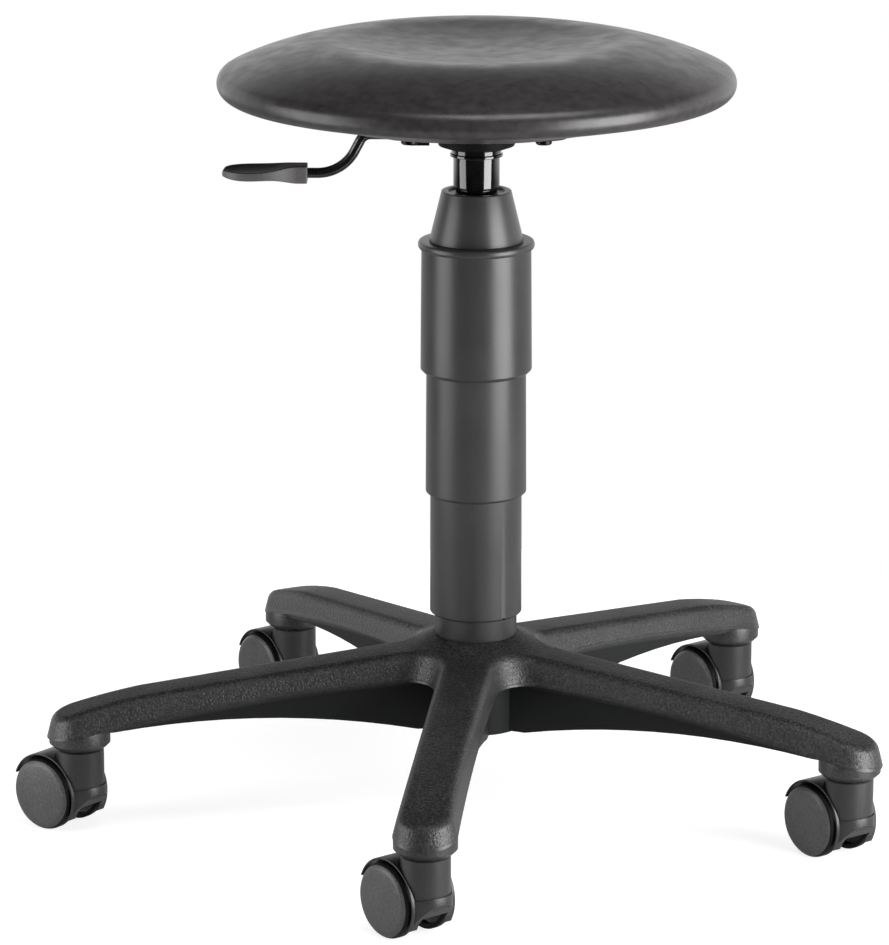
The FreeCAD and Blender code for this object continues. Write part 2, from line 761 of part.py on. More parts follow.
keep(turned("release_pin", [
    ("0", f"{pin_top} - pin_length"),
    ("pin_radius", f"{pin_top} - pin_length"),
    ("pin_radius", f"{pin_top} - pin_chamfer"),
    ("pin_radius - pin_chamfer", pin_top),
    ("0", pin_top),
]))

# Conical socket under the seat and the collar pressed on it
keep(turned("cone_socket", [
    ("tube_radius + snug_gap", "cup_bottom"),
    ("cup_radius", "cup_bottom"),
    ("cup_radius", "cup_top"),
    ("tube_taper_radius + snug_gap", "cup_top"),
    ("tube_taper_radius + snug_gap", "tube_top"),
]))
keep(turned("socket_collar", [
    ("cup_radius + snug_gap", "collar_bottom"),
    ("collar_radius", "collar_bottom"),
    ("collar_radius", "collar_bottom + collar_band"),
    ("collar_top_radius", "collar_bottom + collar_band"),
    ("collar_top_radius", "dish_bottom"),
    ("cup_radius + snug_gap", "dish_bottom"),
]))


# Pressed steel plate under the seat, with the dish that houses the lever's inner end
def make_plate():
    body = new_body("seat_plate")
    plan = new_sketch(body, "plate_plan", "XY_Plane", "seat_bottom - plate_thickness")
    inner = "plate_half - plate_corner"
    draw(plan, [
        (f"-({inner})", "-plate_half"),
        (inner, "-plate_half", "plate_corner", "left"),
        ("plate_half", f"-({inner})"),
        ("plate_half", inner, "plate_corner", "left"),
        (inner, "plate_half"),
        (f"-({inner})", "plate_half", "plate_corner", "left"),
        ("-plate_half", inner),
        ("-plate_half", f"-({inner})", "plate_corner", "left"),
    ])
    extrude(body, "PartDesign::Pad", "plate", plan, "plate_thickness")
    disc_tool(body, "PartDesign::Pocket", "dish_opening", "0", "0", "dish_radius",
              "seat_bottom - plate_thickness - overrun", "plate_thickness + 2 * overrun", backward=True)
    dish = new_sketch(body, "dish_profile", "XZ_Plane")
    draw(dish, [
        ("cup_radius + snug_gap", "dish_bottom"),
        ("dish_floor_radius", "dish_bottom"),
        ("dish_waist", "dish_waist_height"),
        ("dish_radius", "seat_bottom - plate_thickness"),
        ("dish_radius + dish_flange", "seat_bottom - plate_thickness"),
        ("dish_radius + dish_flange", "seat_bottom"),
        ("dish_radius - dish_sheet / 2", "seat_bottom"),
        ("dish_waist - dish_sheet", "dish_bottom + dish_sheet"),
        ("cup_radius + snug_gap", "dish_bottom + dish_sheet"),
    ])
    spin(body, "PartDesign::Revolution", "dish", dish)
    slot = new_sketch(body, "slot_outline", "YZ_Plane")
    draw(slot, [
        ("-slot_halfwidth", "lever_height - slot_halfheight"),
        ("slot_halfwidth", "lever_height - slot_halfheight"),
        ("slot_halfwidth", "lever_height + slot_halfheight"),
        ("-slot_halfwidth", "lever_height + slot_halfheight"),
    ])
    extrude(body, "PartDesign::Pocket", "lever_slot", slot, "plate_half")
    hole = disc_tool(body, "PartDesign::Pocket", "screw_hole", "screw_place", "screw_place",
                     "screw_radius + screw_hole_gap", "seat_bottom - plate_thickness - overrun",
                     "plate_thickness + 2 * overrun", backward=True)
    repeat_round(body, "screw_holes", [hole], "screw_count")
    return body


plate = keep(make_plate())
turn_body(plate, "lever_heading")


# Two ears that carry the lever's trunnions
def make_ears():
    ears = []
    for side, sign in (("left", "-"), ("right", "")):
        body = new_body(f"pivot_ear_{side}")
        outline = new_sketch(body, f"ear_outline_{side}", "XZ_Plane", f"{'' if sign else '-'}(ear_inside)")
        top = "seat_bottom - plate_thickness"
        draw(outline, [
            ("-lever_pivot - ear_length / 2", f"{top} - ear_drop"),
            ("-lever_pivot + ear_length / 2", f"{top} - ear_drop"),
            ("-lever_pivot + ear_length / 2", top),
            ("-lever_pivot - ear_length / 2", top),
        ])
        extrude(body, "PartDesign::Pad", f"ear_{side}", outline, "ear_thickness", backward=not sign == "-")
        hole = new_sketch(body, f"ear_hole_{side}", "XZ_Plane")
        draw_circle(hole, "-lever_pivot", "lever_height", "trunnion_radius + running_gap")
        extrude(body, "PartDesign::Pocket", f"ear_bore_{side}", hole, "4 * trunnion_reach", midplane=True)
        turn_body(body, "lever_heading")
        ears.append(body)
    return group("pivot_ears", ears)


keep(make_ears())


def at_screws(name, corners):
    """Four equal turned pieces, one at each screw."""
    pieces = []
    for index in range(int(number("screw_count"))):
        body = turned(f"{name}_{index + 1}", corners)
        turn_body(body, "lever_heading", reach="screw_place * sqrt(2)",
                  bearing=f"lever_heading + 45 + 360 / screw_count * {index}")
        pieces.append(body)
    return group(name, pieces)


plate_under = "seat_bottom - plate_thickness"
head_top = f"{plate_under} - washer_thickness"
keep(at_screws("seat_washers", [
    ("screw_radius + screw_hole_gap", head_top), ("washer_radius", head_top),
    ("washer_radius", plate_under), ("screw_radius + screw_hole_gap", plate_under)]))
keep(at_screws("seat_screws", [
    ("0", f"{head_top} - screw_head_height / 2"),
    ("screw_radius", f"{head_top} - screw_head_height / 2"),
    ("screw_radius", f"{head_top} - screw_head_height"),
    ("screw_head_radius - screw_head_edge", f"{head_top} - screw_head_height"),
    ("screw_head_radius", f"{head_top} - screw_head_height + screw_head_edge"),
    ("screw_head_radius", head_top),
    ("screw_radius", head_top),
    ("screw_radius", "seat_bottom + board_thickness - nut_flange"),
    ("0", "seat_bottom + board_thickness - nut_flange"),
]))
board_top = "seat_bottom + board_thickness"
keep(at_screws("tee_nuts", [
    ("screw_radius + snug_gap", f"{board_top} - nut_length"), ("nut_radius", f"{board_top} - nut_length"),
    ("nut_radius", f"{board_top} - nut_flange"), ("nut_flange_radius", f"{board_top} - nut_flange"),
    ("nut_flange_radius", board_top), ("screw_radius + snug_gap", board_top)]))


# Moulded plywood board in the seat
def make_board():
    body = turned("seat_board", [
        ("0", "seat_bottom"),
        ("board_flat_radius", "seat_bottom"),
        ("board_radius", "seat_bottom + board_rise"),
        ("board_radius", "seat_bottom + board_rise + board_thickness"),
        ("board_flat_radius", board_top),
        ("0", board_top),
    ])
    barrel = disc_tool(body, "PartDesign::Pocket", "nut_hole", "screw_place", "screw_place", "nut_radius + snug_gap",
                       "seat_bottom - overrun", "board_thickness + 2 * overrun", backward=True)
    seat = disc_tool(body, "PartDesign::Pocket", "nut_seat", "screw_place", "screw_place",
                     "nut_flange_radius + snug_gap", f"{board_top} - nut_flange", "2 * overrun", backward=True)
    repeat_round(body, "nut_holes", [barrel, seat], "screw_count")
    turn_body(body, "lever_heading")
    return body


keep(make_board())

# Padded seat: dished crown, rounded rim and the cover drawn in under the board
board_slope = "board_rise / (board_radius - board_flat_radius)"
keep(turned("seat_cushion", [
    ("seat_flat_radius", "seat_bottom", "seat_under_curve", "left"),
    ("seat_under_reach", "seat_equator - seat_under_drop", "seat_rim_curve", "left"),
    ("seat_over_reach", "seat_equator + seat_over_rise", "seat_crown_curve", "left"),
    ("seat_ridge_reach", "seat_equator + seat_ridge_rise", "seat_ridge_curve", "left"),
    ("seat_dish_reach", "seat_equator + seat_dish_rise", cap_curve("seat_dish_reach", "seat_dish_rise - seat_centre_rise"), "right"),
    ("0", "seat_equator + seat_centre_rise"),
    ("0", f"{board_top} + soft_gap"),
    ("board_flat_radius", f"{board_top} + soft_gap"),
    ("board_radius + soft_gap", f"{board_top} + board_rise + 2 * soft_gap"),
    ("board_radius + soft_gap", "seat_bottom + board_rise - soft_gap"),
    ("seat_flat_radius", f"seat_bottom + (seat_flat_radius - board_flat_radius) * {board_slope} - soft_gap"),
]))


# Height lever: bent rod, nylon pivot block and moulded grip
def make_lever_rod():
    body = new_body("lever_rod")
    route = new_sketch(body, "lever_route", "XZ_Plane")
    ends = ["lever_inner_end", "-lever_corner", "-lever_lower_corner", "-lever_end"]
    heights = ["lever_height", "lever_height", "lever_lower_height", "lever_lower_height"]
    draw_path(route, list(zip(ends, heights)), ["lever_upper_bend", "lever_lower_bend"])
    section = new_sketch(body, "lever_section", "YZ_Plane", "lever_inner_end")
    draw_circle(section, "0", "lever_height", "lever_radius")
    rod = body.newObject("PartDesign::AdditivePipe", "lever_bending")
    rod.Profile = section
    rod.Spine = (route, [f"Edge{index + 1}" for index in range(5)])
    document.recompute()
    turn_body(body, "lever_heading")
    return body


def draw_path(sketch, corners, bends):
    """An open route of straight runs joined by tangent arcs."""
    points = [FreeCAD.Vector(number(across), number(up), 0) for across, up in corners]
    runs = []
    arcs = []
    entries = []
    previous = points[0]
    for index, bend in enumerate(bends, start=1):
        corner = points[index]
        back = (points[index - 1] - corner).normalize()
        ahead = (points[index + 1] - corner).normalize()
        half = back.getAngle(ahead) / 2
        radius = number(bend)
        entry = corner + back * (radius / math.tan(half))
        leave = corner + ahead * (radius / math.tan(half))
        centre = corner + (back + ahead).normalize() * (radius / math.sin(half))
        turn = [math.atan2(end.y - centre.y, end.x - centre.x) for end in (entry, leave)]
        leftward = back.cross(ahead).z < 0
        if not leftward:
            turn.reverse()
        circle = Part.Circle(centre, FreeCAD.Vector(0, 0, 1), radius)
        runs.append(sketch.addGeometry(Part.LineSegment(previous, entry), False))
        arcs.append(sketch.addGeometry(Part.ArcOfCircle(circle, turn[0], turn[1]), False))
        entries.append(1 if leftward else 2)
        previous = leave
    runs.append(sketch.addGeometry(Part.LineSegment(previous, points[-1]), False))
    for index, (corner, bend) in enumerate(zip(corners[1:], bends)):
        entry = entries[index]
        sketch.addConstraint(Sketcher.Constraint("Tangent", runs[index], 2, arcs[index], entry))
        sketch.addConstraint(Sketcher.Constraint("Tangent", arcs[index], 3 - entry, runs[index + 1], 1))
        held = sketch.addConstraint(Sketcher.Constraint("Radius", arcs[index], number(bend)))
        bind(sketch, f"Constraints[{held}]", bend)
        point = sketch.addGeometry(Part.Point(FreeCAD.Vector(number(corner[0]), number(corner[1]), 0)), True)
        pin_point(sketch, point, 1, corner[0], corner[1])
        sketch.addConstraint(Sketcher.Constraint("PointOnObject", point, 1, runs[index]))
        sketch.addConstraint(Sketcher.Constraint("PointOnObject", point, 1, runs[index + 1]))
    pin_point(sketch, runs[0], 1, *corners[0])
    pin_point(sketch, runs[-1], 2, *corners[-1])


keep(make_lever_rod())


def make_lever_bush():
    body = new_body("lever_bush")
    block = new_sketch(body, "bush_outline", "XZ_Plane")
    draw(block, [
        ("-lever_pivot - bush_length / 2", "lever_height - bush_halfheight"),
        ("-lever_pivot + bush_length / 2", "lever_height - bush_halfheight"),
        ("-lever_pivot + bush_length / 2", "lever_height + bush_halfheight"),
        ("-lever_pivot - bush_length / 2", "lever_height + bush_halfheight"),
    ])
    extrude(body, "PartDesign::Pad", "bush_block", block, "2 * bush_halfwidth", midplane=True)
    pins = new_sketch(body, "trunnion_circle", "XZ_Plane")
    draw_circle(pins, "-lever_pivot", "lever_height", "trunnion_radius")
    extrude(body, "PartDesign::Pad", "trunnions", pins, "2 * trunnion_reach", midplane=True)
    bore = new_sketch(body, "bush_bore_circle", "YZ_Plane")
    draw_circle(bore, "0", "lever_height", "lever_radius + snug_gap")
    extrude(body, "PartDesign::Pocket", "bush_bore", bore, "2 * plate_half")
    turn_body(body, "lever_heading")
    return body


keep(make_lever_bush())


def make_grip():
    body = new_body("lever_grip")
    plan = new_sketch(body, "grip_plan", "XY_Plane", "grip_root_bottom")
    draw(plan, [
        ("-grip_root", "-grip_root_halfwidth"),
        ("-grip_root", "grip_root_halfwidth"),
        ("-grip_waist", "grip_root_halfwidth"),
        ("-grip_belly", "grip_belly_halfwidth", "grip_tip_curve", "left"),
        ("-grip_tip", "0", "grip_tip_curve", "left"),
        ("-grip_belly", "-grip_belly_halfwidth"),
        ("-grip_waist", "-grip_root_halfwidth"),
    ])
    pad = extrude(body, "PartDesign::Pad", "grip_block", plan, "grip_top - grip_root_bottom")
    waists = edges_where(pad.Shape, lambda edge, middle: abs(edge.tangentAt(edge.FirstParameter).z) > 0.5
                         and -number("grip_belly") - 1 < middle.x < -number("grip_waist") + 1)
    soft = body.newObject("PartDesign::Fillet", "grip_waists")
    soft.Base = (pad, waists)
    bind(soft, "Radius", "grip_waist_curve")
    document.recompute()
    under = new_sketch(body, "grip_underside", "XZ_Plane")
    draw(under, [
        ("-grip_waist", "grip_root_bottom - overrun"),
        ("-grip_waist", "grip_root_bottom", "grip_under_curve", "right"),
        ("-grip_tip - overrun", "grip_tip_bottom"),
        ("-grip_tip - overrun", "grip_root_bottom - overrun"),
    ])
    extrude(body, "PartDesign::Pocket", "grip_underside_cut", under, "4 * grip_belly_halfwidth", midplane=True)
    hollow = new_sketch(body, "grip_dish_profile", "XZ_Plane")
    draw(hollow, [
        ("-grip_belly", "grip_top - grip_dish_depth", "grip_dish_curve", "left"),
        ("-grip_belly + sqrt(2 * grip_dish_curve * (grip_dish_depth + grip_dish_over) - (grip_dish_depth + grip_dish_over) ^ 2)",
         "grip_top + grip_dish_over"),
        ("-grip_belly", "grip_top + grip_dish_over"),
    ])
    upright_axis(hollow, "-grip_belly", "grip_top")
    spin(body, "PartDesign::Groove", "grip_dish", hollow, "Axis0")
    bore = new_sketch(body, "grip_bore_circle", "YZ_Plane")
    draw_circle(bore, "0", "lever_lower_height", "lever_radius + snug_gap")
    extrude(body, "PartDesign::Pocket", "grip_bore", bore, "lever_end")
    turn_body(body, "lever_heading")
    return body


keep(make_grip())


# Twin-wheel castors. Each is drawn about its own axle and then set under an arm.
def make_housing(name):
    body = new_body(name)
    shell = new_sketch(body, f"{name}_hood_outline", "XY_Plane")
    draw(shell, [
        ("0", "-web_half"),
        ("hood_radius - hood_wall", "-web_half"),
        ("hood_radius - hood_wall", "-hood_half"),
        ("hood_radius - hood_edge", "-hood_half", "hood_edge", "left"),
        ("hood_radius", "-hood_half + hood_edge"),
        ("hood_radius", "hood_half - hood_edge", "hood_edge", "left"),
        ("hood_radius - hood_edge", "hood_half"),
        ("hood_radius - hood_wall", "hood_half"),
        ("hood_radius - hood_wall", "web_half"),
        ("0", "web_half"),
    ])
    spin(body, "PartDesign::Revolution", f"{name}_hood", shell, angles=("hood_front_angle", "180 - hood_rear_angle"))
    neck = new_sketch(body, f"{name}_neck_outline", "XZ_Plane")
    draw(neck, [
        ("castor_trail", "0"),
        ("castor_trail + neck_radius", "0"),
        ("castor_trail + neck_radius", "neck_top - wheel_radius - neck_edge", "neck_edge", "left"),
        ("castor_trail + neck_radius - neck_edge", "neck_top - wheel_radius"),
        ("castor_trail", "neck_top - wheel_radius"),
    ])
    upright_axis(neck, "castor_trail", "neck_top")
    spin(body, "PartDesign::Revolution", f"{name}_neck", neck, "Axis0")
    apron = new_sketch(body, f"{name}_apron_outline", "XY_Plane")
    root = "hood_radius - hood_wall / 2"
    half = f"sqrt(apron_curve ^ 2 - ({root} - apron_reach + apron_curve) ^ 2)"
    draw(apron, [
        (root, f"-{half}", "apron_curve", "left"),
        ("apron_reach", "0", "apron_curve", "left"),
        (root, half),
    ])
    spin(body, "PartDesign::Revolution", f"{name}_apron", apron, angles=("hood_front_angle", "apron_angle"))
    for side, sign in (("left", ""), ("right", "-")):
        space = new_sketch(body, f"{name}_wheel_space_{side}", "XY_Plane")
        near, far = (f"{sign}web_half", f"{sign}(hood_half + overrun)")
        corners = [("0", near), ("hood_radius - hood_wall", near), ("hood_radius - hood_wall", far), ("0", far)]
        draw(space, corners if sign == "" else corners[::-1])
        spin(body, "PartDesign::Groove", f"{name}_wheel_cut_{side}", space)
    boss = new_sketch(body, f"{name}_boss_circle", "XZ_Plane")
    draw_circle(boss, "0", "0", "axle_boss_radius")
    extrude(body, "PartDesign::Pad", f"{name}_boss", boss, "2 * axle_boss_half", midplane=True)
    disc_tool(body, "PartDesign::Pad", f"{name}_stem_boss", "castor_trail", "0", "stem_boss_radius",
              "stem_boss_bottom - wheel_radius", "neck_top - stem_boss_bottom - neck_edge")
    disc_tool(body, "PartDesign::Pocket", f"{name}_stem_bore", "castor_trail", "0", "stem_radius + snug_gap",
              "stem_bottom - wheel_radius", "neck_top", backward=True)
    bore = new_sketch(body, f"{name}_axle_circle", "XZ_Plane")
    draw_circle(bore, "0", "0", "axle_radius + snug_gap")
    extrude(body, "PartDesign::Pocket", f"{name}_axle_bore", bore, "4 * axle_boss_half", midplane=True)
    return body


def make_wheel(name):
    body = new_body(name)
    outline = new_sketch(body, f"{name}_outline", "XY_Plane")
    bore = "axle_radius + running_gap"
    draw(outline, [
        (bore, "wheel_hub_face"),
        ("wheel_hub_radius", "wheel_hub_face"),
        ("wheel_hub_radius", "wheel_disc_face"),
        ("wheel_radius - wheel_rim", "wheel_disc_face"),
        ("wheel_radius - wheel_rim", "wheel_inner_face"),
        ("wheel_radius", "wheel_inner_face"),
        ("wheel_radius", "wheel_shoulder", "wheel_shoulder_curve", "left"),
        ("wheel_face_radius", "wheel_face_reach", cap_curve("wheel_face_radius", "wheel_reach - wheel_face_reach"), "left"),
        ("0", "wheel_reach"),
        ("0", "axle_half + axle_end_gap"),
        (bore, "axle_half + axle_end_gap"),
    ])
    spin(body, "PartDesign::Revolution", f"{name}_turning", outline)
    return body


def make_axle(name):
    body = new_body(name)
    circle = new_sketch(body, f"{name}_circle", "XZ_Plane")
    draw_circle(circle, "0", "0", "axle_radius")
    extrude(body, "PartDesign::Pad", f"{name}_pin", circle, "2 * axle_half", midplane=True)
    return body


liners = []
grips = []
for index, place in enumerate(("front", "right", "back_right", "back_left", "left")):
    bearing = f"360 / arm_count * {index}"
    heading = f"castor_heading_{index + 1}"
    stem = keep(turned(f"castor_{place}_stem", [
        ("0", "stem_bottom"),
        ("stem_radius", "stem_bottom"),
        ("stem_radius", "neck_top"),
        ("stem_collar_radius", "neck_top"),
        ("stem_collar_radius", "neck_top + stem_collar"),
        ("stem_radius", "neck_top + stem_collar"),
        ("stem_radius", "ring_low"),
        ("stem_radius - ring_groove", "ring_low"),
        ("stem_radius - ring_groove", "ring_low + ring_width"),
        ("stem_radius", "ring_low + ring_width"),
        ("stem_radius", "stem_top"),
        ("0", "stem_top"),
    ]))
    turn_body(stem, heading, reach="castor_circle", bearing=bearing)
    for part, maker in (("housing", make_housing), ("axle", make_axle), ("wheel_left", make_wheel), ("wheel_right", make_wheel)):
        piece = keep(maker(f"castor_{place}_{part}"))
        opposite = part == "wheel_right"
        turn_body(piece, f"{heading} + 180" if opposite else heading, "castor_trail" if opposite else "-castor_trail",
                  "wheel_radius", "castor_circle", bearing)
    liner = ring(f"castor_liner_{place}", "stem_radius + running_gap", "liner_radius", "socket_bottom", "liner_length")
    turn_body(liner, heading, reach="castor_circle", bearing=bearing)
    liners.append(liner)
    grip = ring(f"castor_grip_ring_{place}", "stem_radius - ring_groove + running_gap",
                "stem_radius + running_gap - snug_gap", "ring_low + running_gap", "ring_width - 2 * running_gap")
    turn_body(grip, heading, reach="castor_circle", bearing=bearing)
    grips.append(grip)
keep(group("castor_liners", liners))
keep(group("castor_grip_rings", grips))

document.recompute()
faults = [item.Label for item in document.Objects if {"Invalid", "Error"} & set(item.State)]
for piece in made:
    shape = piece.Shape
    if shape.isNull() or not shape.isValid() or not shape.Solids:
        faults.append(piece.Label)
if faults:
    raise RuntimeError(f"these objects did not build: {faults}")
os.makedirs("parts", exist_ok=True)
for piece in made:
    piece.Shape.exportStep(f"parts/{piece.Label}.step")
    print(piece.Label, len(piece.Shape.Solids), round(piece.Shape.Volume))
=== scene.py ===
# Swivel stool: looks, lights and camera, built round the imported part.
import bpy
import json
import math
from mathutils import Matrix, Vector
from mathutils.kdtree import KDTree

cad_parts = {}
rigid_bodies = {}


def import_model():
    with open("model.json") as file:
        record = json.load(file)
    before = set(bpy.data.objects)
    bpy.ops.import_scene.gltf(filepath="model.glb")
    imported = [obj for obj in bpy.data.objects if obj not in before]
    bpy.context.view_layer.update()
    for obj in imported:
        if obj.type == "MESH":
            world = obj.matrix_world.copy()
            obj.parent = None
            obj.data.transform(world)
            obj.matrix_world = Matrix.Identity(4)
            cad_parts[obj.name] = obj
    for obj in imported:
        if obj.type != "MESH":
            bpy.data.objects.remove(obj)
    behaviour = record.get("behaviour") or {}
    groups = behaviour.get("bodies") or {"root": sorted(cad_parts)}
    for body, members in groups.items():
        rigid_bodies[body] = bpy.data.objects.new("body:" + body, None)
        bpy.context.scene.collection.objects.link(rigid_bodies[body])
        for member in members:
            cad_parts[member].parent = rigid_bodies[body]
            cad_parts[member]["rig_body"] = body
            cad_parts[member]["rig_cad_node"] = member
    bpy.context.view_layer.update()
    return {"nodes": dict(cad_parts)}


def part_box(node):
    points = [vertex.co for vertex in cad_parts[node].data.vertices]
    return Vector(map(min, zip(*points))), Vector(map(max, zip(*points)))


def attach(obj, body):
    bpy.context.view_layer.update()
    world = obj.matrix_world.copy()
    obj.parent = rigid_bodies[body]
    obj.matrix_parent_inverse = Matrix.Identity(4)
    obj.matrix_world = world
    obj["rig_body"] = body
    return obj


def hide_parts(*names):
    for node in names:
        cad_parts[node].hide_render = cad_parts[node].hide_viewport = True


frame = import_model()
nodes = frame["nodes"]
print("frame loaded:", len(nodes), "nodes")


def mm(value):
    return value / 1000


def toLinear(hexColour):
    # "#3b3839" as the linear colour that a shader socket takes
    parts = [int(hexColour[i:i + 2], 16) / 255 for i in (1, 3, 5)]
    return [c / 12.92 if c <= 0.04045 else ((c + 0.055) / 1.055) ** 2.4 for c in parts] + [1.0]


def feed(tree, node, inputs):
    # inputs are values or the output sockets that lead to them
    for key, value in inputs.items():
        if isinstance(value, bpy.types.NodeSocket):
            tree.links.new(value, node.inputs[key])
        else:
            node.inputs[key].default_value = value


def addNode(tree, kind, inputs=None, **settings):
    # one node with its settings and what feeds it
    node = tree.nodes.new(kind)
    for key, value in settings.items():
        setattr(node, key, value)
    feed(tree, node, inputs or {})
    return node


def compute(tree, operation, *values):
    return addNode(tree, "ShaderNodeMath", dict(enumerate(values)), operation=operation).outputs[0]


def computeVector(tree, operation, *values):
    return addNode(tree, "ShaderNodeVectorMath", dict(enumerate(values)), operation=operation).outputs


def rescale(tree, value, start, goal, shape="LINEAR"):
    # value taken from the range start to the range goal, and held at its ends
    inputs = {"Value": value, "From Min": start[0], "From Max": start[1],
              "To Min": goal[0], "To Max": goal[1]}
    return addNode(tree, "ShaderNodeMapRange", inputs, interpolation_type=shape).outputs["Result"]


def mix(tree, kind, factor, first, second):
    # kind is FLOAT for values or RGBA for colours
    inputs = {"Factor": factor, "A": first, "B": second}
    return addNode(tree, "ShaderNodeMix", inputs, data_type=kind).outputs["Result"]


def ramp(tree, factor, stops):
    node = addNode(tree, "ShaderNodeValToRGB", {"Fac": factor})
    node.color_ramp.elements[0].position = stops[0][0]
    node.color_ramp.elements[0].color = toLinear(stops[0][1])
    node.color_ramp.elements[1].position = stops[-1][0]
    node.color_ramp.elements[1].color = toLinear(stops[-1][1])
    for place, colour in stops[1:-1]:
        node.color_ramp.elements.new(place).color = toLinear(colour)
    return node.outputs["Color"]


def noise(tree, coords, scale, detail):
    inputs = {"Vector": coords, "Scale": scale, "Detail": detail}
    return addNode(tree, "ShaderNodeTexNoise", inputs).outputs["Fac"]


def relief(tree, height, depth, normal=None, strength=1.0):
    # height as a bump of the given depth in mm, over another one's normal
    inputs = {"Height": height, "Strength": strength, "Distance": mm(depth)}
    if normal:
        inputs["Normal"] = normal
    return addNode(tree, "ShaderNodeBump", inputs).outputs["Normal"]


def grainRelief(tree, coords, size, depth, detail=2.0, normal=None):
    # noise relief: size is the real width of one grain in mm, depth its height in mm
    grain = noise(tree, coords, 1000 / size / 2, detail)
    return relief(tree, grain, depth, normal), grain


noiseSpan = (0.35, 0.65)  # where most of a noise lies


def spread(value, width):
    return value - width, value + width


def startMaterial(name):
    material = bpy.data.materials.new(name)
    material.use_nodes = True
    tree = material.node_tree
    coords = addNode(tree, "ShaderNodeTexCoord").outputs["Object"]
    return material, tree, tree.nodes["Principled BSDF"], coords


vinyl = {
    "tone": [(0.3, "#232122"), (0.7, "#343132")], "streaks": 170.0, "streakDetail": 6.0,
    "rough": (0.32, 0.4), "index": 1.5,
    "grain": 1.1, "grainDepth": 0.05, "grainStrength": 0.55,
    "crease": 7.0, "creaseDepth": 0.12, "creaseDetail": 5.0,
    "gathers": 46, "gatherDepth": 0.5,
    "gatherReach": (74, 118),    # full inside the first radius, gone at the second
    "gatherHeight": (497, 501),  # full below the first height, gone at the second
}


def upholsteryVinyl():
    # soft vinyl, embossed with a fine leather grain: slight sheen, streaks of tighter and looser grain
    material, tree, shader, coords = startMaterial("upholsteryVinyl")
    cells = addNode(tree, "ShaderNodeTexVoronoi", {"Vector": coords, "Scale": 1000 / vinyl["grain"]},
                    feature="SMOOTH_F1")
    pores = relief(tree, cells.outputs["Distance"], vinyl["grainDepth"], strength=vinyl["grainStrength"])
    creases, wide = grainRelief(tree, coords, vinyl["crease"], vinyl["creaseDepth"],
                                vinyl["creaseDetail"], pores)
    # gathers under the seat, where the cover is drawn in
    place = addNode(tree, "ShaderNodeSeparateXYZ", {"Vector": coords}).outputs
    wave = compute(tree, "MULTIPLY", compute(tree, "ARCTAN2", place["Y"], place["X"]), vinyl["gathers"])
    folds = compute(tree, "SINE", compute(tree, "ADD", wave, wide))
    flat = computeVector(tree, "MULTIPLY", coords, (1, 1, 0))[0]
    reach = computeVector(tree, "LENGTH", flat)["Value"]
    inside = rescale(tree, reach, [mm(radius) for radius in vinyl["gatherReach"]], (1, 0))
    below = rescale(tree, place["Z"], [mm(height) for height in vinyl["gatherHeight"]], (1, 0))
    gathered = compute(tree, "MULTIPLY", folds, compute(tree, "MULTIPLY", inside, below))
    streaks = noise(tree, coords, vinyl["streaks"], vinyl["streakDetail"])
    feed(tree, shader, {
        "Base Color": ramp(tree, streaks, vinyl["tone"]),
        "Roughness": rescale(tree, wide, noiseSpan, vinyl["rough"]),
        "Normal": relief(tree, gathered, vinyl["gatherDepth"], creases), "IOR": vinyl["index"]})
    return material


plastic = {"grainDetail": 3.0, "clouds": 22.0, "cloudDetail": 3.0, "cloudShare": 0.5,
           "uneven": 0.03, "index": 1.49}


def mouldedPlastic(name, dark, light, grain, depth, rough, shine=0.5):
    # injection-moulded plastic from a lightly eroded mould: even satin grey, faint flow clouds
    material, tree, shader, coords = startMaterial(name)
    normal, fine = grainRelief(tree, coords, grain, depth, plastic["grainDetail"])
    clouds = noise(tree, coords, plastic["clouds"], plastic["cloudDetail"])
    both = mix(tree, "FLOAT", plastic["cloudShare"], fine, clouds)
    tone = ramp(tree, both, [(noiseSpan[0], dark), (noiseSpan[1], light)])
    feed(tree, shader, {
        "Base Color": tone,
        "Roughness": rescale(tree, clouds, noiseSpan, spread(rough, plastic["uneven"])),
        "Normal": normal, "IOR": plastic["index"], "Specular IOR Level": shine})
    return material


baseGrain = {
    "tone": [(0.42, "#1f1f20"), (0.66, "#3b3a3a")], "rough": 0.4, "index": 1.53,
    "size": 0.8, "depth": 0.55, "detail": 2.0, "roughness": 0.6, "step": -0.9,
    "fineSize": 0.35, "fineDepth": 0.02, "fineDetail": 1.0,
    "clouds": 30.0, "cloudDetail": 4.0, "cloudShare": 0.2,
    "skirtTop": 99.4, "skirtCurve": 1350.0,  # lower edge of the arms' sides: height at the axis, bend
    "lip": 1.4, "lipFade": 0.8,              # smooth lip above that edge, and how fast its grain starts
    # painted shade under the arms' lips: its colour, the heights and radii where it fades, and its lower
    # shine
    "under": "#242525", "underFade": (-6, -3), "underReach": (245, 252),
    # the tops' shine and the upward range dull the reflection of upward faces, a painted shade
    "shine": 0.5, "shadedTopShine": 0.03, "underShine": 0.1, "upward": (0.45, 0.9),
}


